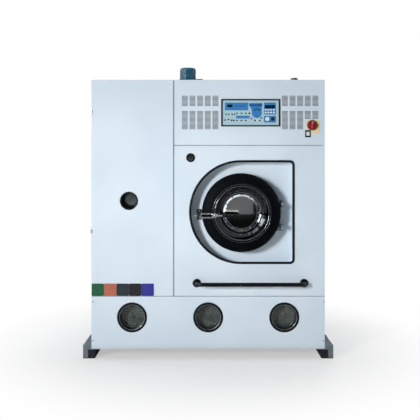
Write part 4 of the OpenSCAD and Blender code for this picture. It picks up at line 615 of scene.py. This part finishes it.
def bead(bm, place, along, radius, thick, steps=120, finish=0):
    """A round bead of radius about an axis, thick across."""
    around = [(radius + thick / 2 * math.cos(math.tau * i / 12), thick / 2 * math.sin(math.tau * i / 12))
              for i in range(13)]
    turned_part(bm, place, along, around, steps, finish)


def strip(bm, outline, x0, x1, finish=0):
    """An outline of (y, z) points carried from x0 to x1."""
    old = set(bm.faces)
    face = bm.faces.new([bm.verts.new((x0, y, z)) for y, z in outline])
    pull(bm, face, (x1 - x0, 0, 0))
    settle(bm, old, finish)


def screw_head(bm, place, along, radius, height, socket="cross", finish=0, steps=16):
    """A domed screw head, with a cross or a hexagon sunk in it, set on place and facing along."""
    old = set(bm.faces)
    arm, waist = radius * 0.58, radius * 0.17
    if socket == "cross":
        hole = [(waist, waist), (waist, arm), (-waist, arm), (-waist, waist), (-arm, waist), (-arm, -waist),
                (-waist, -waist), (-waist, -arm), (waist, -arm), (waist, -waist), (arm, -waist), (arm, waist)]
    else:
        across = radius * 0.52
        hole = [(across * math.cos(math.tau * i / 6), across * math.sin(math.tau * i / 6)) for i in range(6)]
    floor = bm.faces.new([bm.verts.new((x, y, height)) for x, y in hole])
    edge = list(floor.edges)
    pull(bm, floor, (0, 0, -height * 0.65))
    if floor.is_valid:
        bmesh.ops.delete(bm, geom=[floor], context="FACES_ONLY")
    rims = ((radius * 0.70, height, False), (radius * 0.94, height * 0.62, False), (radius, 0.0, True))
    for r, z, cap in rims:
        ring = bmesh.ops.create_circle(bm, cap_ends=cap, segments=steps, radius=r)["verts"]
        bmesh.ops.translate(bm, vec=(0, 0, z), verts=ring)
        around = [e for e in edges_at(ring) if e.is_wire or cap]
        bmesh.ops.bridge_loops(bm, edges=edge + around)
        edge = around
    settle(bm, old, finish, facing(place, along))


# ---------------------------------------------------------------- small pieces

# Places on the part, in mm
FACE = FRONT / MM
LATCH_Y, LATCH_Z = -644.0, 986.0
WINDOW_XS, WINDOW_Z = (-522.0, 0.0, 522.0), 283.0
OUTWARDS = (0, -1, 0)


def on_door_axis(y):
    """The point of the door's axis at y."""
    return (DOOR_X / MM, y, DOOR_Z / MM)


def keypad_prints():
    """Fields and symbols printed on the keypad foil: plain shapes only, a fraction of a millimetre thick."""
    bm = bmesh.new()
    blue, navy, black, white = range(4)
    foil_y = FACE - 1.0
    field, mark = foil_y - 0.15, foil_y - 0.32
    fields = ((114.2, 1702.8, 275.7, 1755.6, 4), (383.0, 1674.7, 464.6, 1755.6, 4),
              (383.0, 1619.0, 464.6, 1665.0, 4), (191.0, 1646.5, 284.9, 1666.0, 8))
    for *box, corner in fields:
        plate(bm, rounded(*box, corner), field, foil_y, finish=blue)
    vessel = [(281.5, 1732.3), (291.1, 1721.4), (298.7, 1701.5), (300.7, 1674.0), (309.0, 1659.6),
              (323.4, 1651.4), (345.3, 1651.4), (359.0, 1659.6), (367.2, 1674.0), (367.2, 1718.6),
              (371.4, 1731.0), (371.4, 1753.0), (279.5, 1753.0)]
    plate(bm, vessel, field, foil_y, finish=blue)
    for x, z in ((296.6, 1645.9), (364.5, 1650.0)):
        plate(bm, oval(x, z, 7.5, 6.5), field, foil_y, finish=blue)
    for x in (291.5, 309.0, 326.5, 344.0, 360.5):
        plate(bm, rounded(x - 6.2, 1732.5, x + 6.2, 1744.5, 2), mark, field, finish=navy)
    dots_on_field = ((319.2, 1705.5, 6.4, 6.0), (335.0, 1710.8, 6.4, 5.0), (349.6, 1705.5, 6.4, 6.0),
                     (335.0, 1656.5, 6.0, 3.4))
    dots_on_foil = ((124.5, 1674.7, 5.6, 6.0), (142.3, 1674.9, 4.4, 6.6), (164.9, 1674.7, 5.8, 6.2),
                    (182.1, 1676.1, 4.0, 7.2), (197.9, 1682.3, 7.4, 4.4), (228.7, 1682.3, 8.0, 4.4),
                    (257.5, 1682.3, 7.4, 4.4), (282.2, 1682.0, 6.0, 6.6), (116.2, 1636.3, 5.0, 6.4),
                    (138.9, 1639.1, 7.4, 4.6), (160.9, 1634.0, 6.0, 6.4), (175.9, 1633.2, 6.0, 6.2),
                    (197.9, 1633.0, 7.4, 4.4), (228.7, 1633.0, 8.0, 4.4), (258.2, 1633.0, 7.8, 4.4),
                    (321.3, 1633.0, 6.4, 6.4), (352.8, 1632.4, 8.0, 4.4))
    for dots, back in ((dots_on_field, field), (dots_on_foil, foil_y)):
        for dot in dots:
            plate(bm, oval(*dot), mark, back, finish=black)
    plate(bm, oval(336.4, 1633.4, 5.0, 5.0), mark, foil_y, finish=white)
    return piece("keypad_prints", bm, (blue_ink, navy_ink, black_ink, white_ink), corner=30)


def framed_blank():
    """The bare white plate with a thin dark frame under the right cooling slots."""
    bm = bmesh.new()
    frame_front, blank_front = FACE - 3.4, FACE - 3.8
    plate(bm, rounded(664.5, 1518.0, 703.0, 1567.0, 3), frame_front, FACE, 0.5, 2, 0)
    plate(bm, rounded(673.0, 1529.0, 695.0, 1555.5, 2), blank_front, FACE - 3.3, 0.2, 1, 1)
    return piece("framed_blank", bm, (black_plastic, white_plastic))


def switch_knob():
    """Red rotary knob: a bevelled disc with a tapered grip bar, on a black skirt."""
    bm = bmesh.new()
    x, z = 714.0, 1601.0
    low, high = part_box("main_switch_knob")
    back, tip, stem_end = FACE - 2.8, low.y / MM, high.y / MM
    face = tip + 12.0
    depth = back - face
    disc = [(0, 0), (33.0, 0), (33.0, depth * 0.2), (31.6, depth * 0.72), (29.0, depth), (21.0, depth - 1.5),
            (0, depth - 2.5)]
    turned_part(bm, (x, back, z), OUTWARDS, disc, 64, 0)
    block(bm, (x - 7.5, tip, z - 27.0), (x + 7.5, face + 3.0, z + 27.0), 4.5, 5, 0)
    block(bm, (x - 1.2, tip - 0.2, z + 12.0), (x + 1.2, tip + 1.0, z + 23.0), 0.5, 2, 2)
    skirt = [(33.2, 0.0), (35.6, 0.0), (35.6, 4.0), (34.6, 5.2), (33.2, 5.2), (33.2, 0.0)]
    turned_part(bm, (x, back, z), OUTWARDS, skirt, 64, 1)
    stem = stem_end - back - 1.0
    turned_part(bm, (x, back + 1.0, z), (0, 1, 0), [(0, 0), (6.0, 0), (6.0, stem), (0, stem)], 24, 1)
    return piece("switch_knob", bm, (red, black_plastic, white_plastic), "switch_knob",
                 standing_for=("main_switch_knob",))


def latch_arm():
    """Chromed latch lever: twin rails with rounded edges, a turned hub with a screw, and a necked rod."""
    bm = bmesh.new()
    y0, y1, z = LATCH_Y - 6.0, LATCH_Y + 6.0, LATCH_Z
    rail_x0, rail_x1, hub_x, rod_x = -59.0, 37.0, 46.0, 60.0
    for low, high in ((-17, -9), (9, 17)):
        block(bm, (rail_x0, y0, z + low), (rail_x1, y1, z + high), 2.0, 3)
    for x in (rail_x0, 26.0):
        block(bm, (x, y0, z - 17), (x + 9.0, y1, z + 17), 2.0, 3)
    hub = [(6.05, 0), (14.0, 0), (15.0, 1.0), (15.0, 10.8), (13.8, 12.0), (10.0, 12.0), (9.2, 11.2),
           (6.05, 11.2), (6.05, 0)]
    turned_part(bm, (hub_x, y1, z), OUTWARDS, hub, 48)
    rod = [(0, 0), (6.5, 0), (6.5, 4), (4.5, 9), (4.5, 28), (8.5, 29.0), (8.5, 33), (4.5, 33.5), (4.5, 150),
           (0, 150)]
    turned_part(bm, (rod_x, LATCH_Y, z), (1, 0, 0), rod, 32)
    screw_head(bm, (hub_x, y0 + 0.7, z), OUTWARDS, 8.8, 4.2, "hexagon", steps=24)
    return piece("latch_arm", bm, (chrome,), "latch", standing_for=("latch_lever",))


def ribbed_grip():
    """Moulded rubber grip with five rounded ribs and a domed end."""
    bm = bmesh.new()
    start, length, r, bore = 94.0, 124.0, 14.5, 4.8
    ribs, groove, dome = 5, 3.0, length - 8
    pitch = length / ribs
    profile = [(bore, 0), (r - 2.5, 0), (r - 0.6, 1.0), (r, 3.0)]
    for i in range(ribs):
        mid = (i + 0.5) * pitch
        for step in range(-4, 5):
            depth = groove / 2 * (1 + math.cos(math.pi * step / 4))
            profile.append((r - depth, mid + step * 1.2))
    profile = [p for p in profile if p[1] < dome]
    profile += [(r, dome), (r - 1.2, length - 4.4), (r - 3.4, length - 1.9), (r - 7.0, length - 0.5),
                (0, length), (0, length - 13), (bore, length - 13), (bore, 0)]
    turned_part(bm, (start, LATCH_Y, LATCH_Z), (1, 0, 0), profile, 48)
    return piece("ribbed_grip", bm, (grip_rubber,), "latch", corner=50,
                 standing_for=("latch_grip",))


def clamp_ring():
    """Turned clamp ring of the door glass: a bright bead at its inner and outer edge, a sunk flat between."""
    bm = bmesh.new()
    profile = [(107.0, 0.0), (107.0, 4.2), (107.6, 5.6), (109.0, 6.0), (110.8, 5.6), (112.0, 4.4),
               (125.0, 4.4), (125.4, 5.6), (126.4, 6.0), (127.6, 5.8), (130.2, 4.8), (131.0, 3.6),
               (131.0, -9.4), (115.6, -9.4), (115.6, 0.0), (107.0, 0.0)]
    turned_part(bm, on_door_axis(FACE + 7.7), OUTWARDS, profile, 160)
    return piece("clamp_ring", bm, (clamp,), "loading_door",
                 standing_for=("door_clamp_ring",))


def opening_beads():
    """Polished edge of the door opening, and the fine machined step round it on the black casting."""
    bm = bmesh.new()
    at = on_door_axis(FACE - 66.6)
    bead(bm, at, OUTWARDS, 184.0, 3.2, 160, 0)
    bead(bm, at, OUTWARDS, 197.0, 2.4, 160, 1)
    return piece("opening_beads", bm, (clamp, turned), "loading_door")


def cone_shoulder():
    """Turned shoulder at the foot of the cone that the clamp ring stands in."""
    bm = bmesh.new()
    profile = [(131.5, -9.0), (131.5, -0.4), (132.2, 0.2), (139.6, 2.4), (140.8, 2.2), (142.0, 0.0),
               (141.0, -1.4), (131.5, -9.0)]
    turned_part(bm, on_door_axis(FACE + 6.4), OUTWARDS, profile, 160)
    return piece("cone_shoulder", bm, (turned,), "loading_door")


def exhaust_stub():
    """Spun exhaust stub: five shallow rolled grooves, a drawn-in shoulder and a turned rim."""
    bm = bmesh.new()
    x, y, inner, outer = -147.0, -260.0, 58.0, 60.5
    z0, z1 = [corner.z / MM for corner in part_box("chimney")]
    top = z1 - z0
    profile = [(inner, 0.0), (outer, 0.0)]
    for groove in range(5):
        d = 13.0 + 12.0 * groove
        profile += [(outer, d - 2.2), (59.5, d - 1.0), (59.3, d), (59.5, d + 1.0), (outer, d + 2.2)]
    profile += [(outer, top - 16.0), (59.6, top - 11.0), (57.4, top - 6.6), (54.8, top - 3.0),
                (53.0, top - 0.6), (52.0, top), (50.9, top - 0.8), (51.6, top - 3.0), (55.0, top - 7.6),
                (57.2, top - 12.0), (inner, top - 17.0), (inner, 0.0)]
    turned_part(bm, (x, y, z0), (0, 0, 1), profile, 96)
    return piece("exhaust_stub", bm, (stack,), corner=40, standing_for=("chimney",))


def keeper_screws():
    """Two bright cap screws on the foot of the latch keeper."""
    bm = bmesh.new()
    for side in (-1, 1):
        screw_head(bm, (-64.0, FACE + 49.0, LATCH_Z + side * 24.0), OUTWARDS, 5.4, 3.0, "hexagon")
    return piece("keeper_screws", bm, (zinc,))


def tank_pointers():
    """Small dark level pointers behind the top edge of the first two tank windows."""
    bm = bmesh.new()
    y, thick, tip_z, top_z = -500.5, 2.0, WINDOW_Z + 61.0, WINDOW_Z + 83.0
    for x in WINDOW_XS[:2]:
        outline = [(x + 3.0, top_z), (x - 4.0, tip_z + 1.0), (x - 1.0, tip_z), (x + 10.0, top_z)]
        plate(bm, outline, y, y + thick, 0.3, 1)
    return piece("tank_pointers", bm, (blackened,))


def recess_edge(inset):
    """Outline of the door recess, moved inwards by inset: a half circle on the left and two round corners."""
    points = []
    arcs = ((561.0, 680.0, 27.0, -90, 0, 8), (561.0, 1330.0, 27.0, 0, 90, 8),
            (225.0, 1005.0, 352.0, 90, 270, 48))
    for cx, cz, radius, start, end, count in arcs:
        for i in range(count + 1):
            a = math.radians(start + (end - start) * i / count)
            points.append((cx + (radius - inset) * math.cos(a), cz + (radius - inset) * math.sin(a)))
    return points


def trim_nose():
    """Rounded nose of the rubber edging round the door recess: a closed strip with a soft front."""
    bm = bmesh.new()
    profile = [(-4.2, -0.2), (-4.2, -3.2), (-3.4, -4.8), (-1.6, -6.0), (1.0, -6.6), (5.6, -6.6), (8.4, -6.0),
               (10.4, -4.6), (11.2, -2.8), (11.2, 5.0), (10.2, 5.0), (10.2, -0.2)]
    loops = [[bm.verts.new((x, FACE + y, z)) for x, z in recess_edge(inset)] for inset, y in profile]
    for first, second in zip(loops, loops[1:] + loops[:1]):
        for i in range(len(first)):
            j = (i + 1) % len(first)
            bm.faces.new((first[i], first[j], second[j], second[i]))
    settle(bm, set(), 0)
    return piece("trim_nose", bm, (rubber,))


def slot_shade_mats():
    """Black foam sheets behind the two fields of cooling slots, cut out round the main switch: a dark sheet
    that makes the slots read dark, painted shade.
    """
    bm = bmesh.new()
    top_z = 1808.0
    for x0, z0, x1 in ((-186.0, 1564.0, 76.0), (500.0, 1564.0, 656.0), (656.2, 1638.0, 762.0)):
        block(bm, (x0, FACE + 3.0, z0), (x1, FACE + 8.0, top_z), 0.8, 1)
    return piece("slot_shade_mats", bm, (foam,))


def window_beads():
    """Steel bead in the mouth of each tank window's rubber ring."""
    bm = bmesh.new()
    for x in WINDOW_XS:
        bead(bm, (x, FACE + 1.5, WINDOW_Z), OUTWARDS, 86.3, 3.2, 96)
    return piece("window_beads", bm, (brushed,))


def louvre_hoods():
    """Pressed hoods over the slots of the rear panel."""
    bm = bmesh.new()
    rear, half_width = -FACE, 134.0
    hood = [(0.0, 11.5), (3.6, 10.2), (6.2, 6.6), (6.8, 1.4), (5.8, 1.4), (5.2, 6.0), (3.0, 9.2), (0.0, 10.3)]
    for column in range(3):
        middle = (column - 1) * 330.0 + 120.0
        for row in range(16):
            z = 1100.0 + 24.0 * row
            strip(bm, [(rear + out, z + up) for out, up in hood], middle - half_width, middle + half_width)
    return piece("louvre_hoods", bm, (coat,))


def clamp_screws():
    """Twelve socket-head screws on the clamp ring."""
    bm = bmesh.new()
    count, circle_r = 12, 121.0
    x, y, z = on_door_axis(-558.3)
    for i in range(count):
        a = math.tau * i / count
        at = (x + circle_r * math.cos(a), y, z + circle_r * math.sin(a))
        screw_head(bm, at, OUTWARDS, 5.6, 4.0, "hexagon")
    return piece("clamp_screws", bm, (zinc,), "loading_door", standing_for=("door_bolts",))


def sheet_screws():
    """Cross-head screws: four on the lower panel, and rows along the side, rear and top sheets."""
    bm = bmesh.new()
    side_x, rear_y, top_z, head_r, head_h = 800.0, 560.0, 1912.0, 6.0, 2.8
    for x in (-791, 791):
        for z in (390, 123):
            screw_head(bm, (x, FACE, z), OUTWARDS, head_r, 3.0)
    for side in (-1, 1):
        for y in (-540, 540):
            for z in range(140, 1900, 290):
                screw_head(bm, (side * side_x, y, z), (side, 0, 0), head_r, head_h)
        for z in range(128, 1900, 290):
            screw_head(bm, (side * 760.0, rear_y, z), (0, 1, 0), head_r, head_h)
    for x in range(-760, 761, 304):
        for y in (-530, 530):
            screw_head(bm, (x, y, top_z), (0, 0, 1), head_r, head_h)
    return piece("sheet_screws", bm, (zinc,), standing_for=("panel_screws",))


blue_ink = foil_ink("blue_screen_ink", "#3686ca", "#3e7bba")
navy_ink = foil_ink("navy_screen_ink", "#12305f", "#0d2750")
black_ink = foil_ink("black_screen_ink", "#0e2129", "#09171e")
white_ink = foil_ink("white_screen_ink", "#f2f7fa", "#e6eef3")
grip_rubber = moulded_plastic("moulded_grip_rubber", "#050607", "#030405", 0.3, shine=0.2)

keypad_prints()
framed_blank()
switch_knob()
latch_arm()
ribbed_grip()
clamp_ring()
opening_beads()
cone_shoulder()
exhaust_stub()
keeper_screws()
tank_pointers()
trim_nose()
slot_shade_mats()
window_beads()
louvre_hoods()
clamp_screws()
sheet_screws()


# ---------------------------------------------------------------- studio

def studio():
    """Pale floor, white surroundings, one soft key from the upper left, weak lights for the other sides, and
    cards that give the polished parts something to mirror."""
    pale_floor()
    white_surroundings()

    lamp("key", (-6.70, -8.65, 3.47), (0.1, FRONT, 1.0), 1.70, 688.0)
    lamp("pool", (-4.6, -5.9, 1.5), (0.0, FRONT, 1.08), 0.9, 1.9, 18.0)
    lamp("right_fill", (4.2, -0.4, 2.6), (0.8, 0.0, 1.0), 2.0, 35.0)
    lamp("left_fill", (-4.2, 1.2, 2.4), (-0.8, 0.0, 1.0), 2.0, 34.0)
    lamp("top_fill", (0.0, 0.7, 5.2), (0.0, 0.1, 1.9), 2.2, 55.0)
    lamp("rear_fill", (1.6, 4.6, 2.8), (0.0, 0.6, 1.0), 2.0, 84.0)

    dark, pale, cool, sky = "#24282c", "#f4f6f8", "#dcecf4", "#e4eef8"
    door = (DOOR_X, FRONT, DOOR_Z)
    card("dark_screen", (0.0, -9.8, 2.6), (0.0, 0.0, 1.2), 20.0, 10.6, dark, 0.02)
    card("pale_card", (0.46, -6.0, 0.775), (DOOR_X, FRONT, 1.0), 0.46, 0.31, pale, 2.6)
    card("window_card", (-2.62, -1.46, 2.15), door, 1.6, 1.15, pale, 15.0)
    arc_card("ring_light", (0.51, -5.98, 0.646), 0.243, 0.298, 92, 196, "#eef2f5", 4.2)
    card("streak_card", (0.35, -5.95, 0.672), (DOOR_X, FRONT, 1.0), 0.22, 0.022, pale, 14.0)
    card("service_card", (-1.214, -6.0, 0.825), (-0.543, FRONT, 1.08), 0.26, 0.26, cool, 3.6)
    card("flow_card", (-0.268, -6.0, 1.487), (-0.12, FRONT, 1.38), 0.14, 0.14, cool, 2.2)
    card("narrow_window", (-1.72, -1.46, 3.37), door, 0.3, 0.9, sky, 7.0)
    card("second_window", (-1.21, -1.46, 3.71), door, 0.16, 0.9, sky, 6.0)
    card("third_window", (-0.62, -1.46, 3.98), door, 0.12, 0.9, sky, 5.0)
    card("dark_flag", (4.6, 2.6, 2.4), (0.0, 0.0, 2.0), 7.0, 5.0, dark, 0.02)


def pale_floor():
    """A wide pale floor that keeps the shadow near the machine and fades to white for the camera."""
    radius, fade_from, fade_to, least_white = 14.0, 0.75, 1.9, 0.45
    m, t, s, place = surface("pale_floor", "#fafafa", 0.8)
    far = vector_calc(t, "LENGTH", place, result="Value")
    fade = remap(t, far, fade_from, fade_to, interpolation_type="SMOOTHSTEP")
    seen = add(t, "LightPath").outputs["Is Camera Ray"]
    share = calc(t, "MULTIPLY", remap(t, fade, 0.0, 1.0, least_white), seen)
    plain_white = add(t, "Emission", {"Color": (1, 1, 1, 1), "Strength": 1.0})
    mixed = add(t, "MixShader", {0: share, 1: s.outputs[0], 2: plain_white.outputs[0]})
    t.links.new(mixed.outputs[0], t.nodes["Material Output"].inputs["Surface"])
    bm = bmesh.new()
    bmesh.ops.create_circle(bm, cap_ends=True, segments=96, radius=radius)
    new_object("floor", bm, (m,))


def white_surroundings():
    """White for the camera, mirrors and glass, and a weak cool light for everything else."""
    world = bpy.data.worlds.new("studio")
    bpy.context.scene.world = world
    world.use_nodes = True
    w = world.node_tree
    w.nodes.clear()
    path = add(w, "LightPath").outputs
    direct = calc(w, "MAXIMUM", path["Is Camera Ray"], path["Is Glossy Ray"])
    shown = calc(w, "MAXIMUM", direct, path["Is Transmission Ray"])
    soft = add(w, "Background", {"Color": (0.93, 0.97, 1.0, 1.0), "Strength": 0.08})
    white = add(w, "Background", {"Color": (1, 1, 1, 1), "Strength": 1.0})
    both = add(w, "MixShader", {0: shown, 1: soft.outputs[0], 2: white.outputs[0]})
    out = add(w, "OutputWorld")
    w.links.new(both.outputs[0], out.inputs["Surface"])


def arc_card(name, place, inner, outer, start, end, colour, glow):
    """A lit strip bent round place, between two angles in degrees, that only polished surfaces show."""
    bm = bmesh.new()
    pairs = []
    for i in range(25):
        a = math.radians(start + (end - start) * i / 24)
        pairs.append([bm.verts.new((place[0] + r * math.cos(a), place[1], place[2] + r * math.sin(a)))
                      for r in (inner, outer)])
    for (a, b), (c, d) in zip(pairs, pairs[1:]):
        bm.faces.new((a, b, d, c))
    lit_card(name, bm, colour, glow)


def card(name, place, target, width, height, colour, glow):
    """A flat card beyond the view, dark or lit, that only polished surfaces show."""
    bm = bmesh.new()
    verts = bmesh.ops.create_grid(bm, x_segments=1, y_segments=1, size=0.5)["verts"]
    bmesh.ops.scale(bm, vec=(width, height, 1), verts=verts)
    bmesh.ops.transform(bm, matrix=facing(place, Vector(target) - Vector(place)), verts=verts)
    lit_card(name, bm, colour, glow)


def lit_card(name, bm, colour, glow):
    """Turns a bmesh into a glowing card of the studio."""
    material, tree = surface(name, colour, 0.9)[:2]
    light = add(tree, "Emission", {"Color": linear(colour), "Strength": glow})
    tree.links.new(light.outputs[0], tree.nodes["Material Output"].inputs["Surface"])
    obj = new_object(name, bm, (material,))
    obj.visible_camera = obj.visible_diffuse = obj.visible_transmission = obj.visible_shadow = False


def lamp(name, place, target, size, watts, spread=180.0):
    """A square soft box at place, aimed at target; its light fans out over spread degrees."""
    data = bpy.data.lights.new(name, "AREA")
    data.size = size
    data.energy = watts
    data.spread = math.radians(spread)
    obj = bpy.data.objects.new(name, data)
    aim = (Vector(target) - Vector(place)).to_track_quat("-Z", "Y")
    obj.matrix_world = Matrix.LocRotScale(Vector(place), aim, None)
    bpy.context.scene.collection.objects.link(obj)


def photograph_view():
    """The photograph's level camera, a little above the door, its lens shifted down as the picture shows."""
    data = bpy.data.cameras.new("camera")
    data.sensor_width = 36.0
    data.lens = 55.0
    data.shift_x = 0.0044
    data.shift_y = -0.094
    place = Vector((0.0, -4.96, 1.29))
    level = Matrix.Rotation(math.radians(90), 3, "X").to_quaternion()
    camera = bpy.data.objects.new("camera", data)
    camera.matrix_world = Matrix.LocRotScale(place, level, None)
    bpy.context.scene.collection.objects.link(camera)
    bpy.context.scene.camera = camera


studio()
photograph_view()
bpy.context.scene.view_settings.view_transform = "Standard"
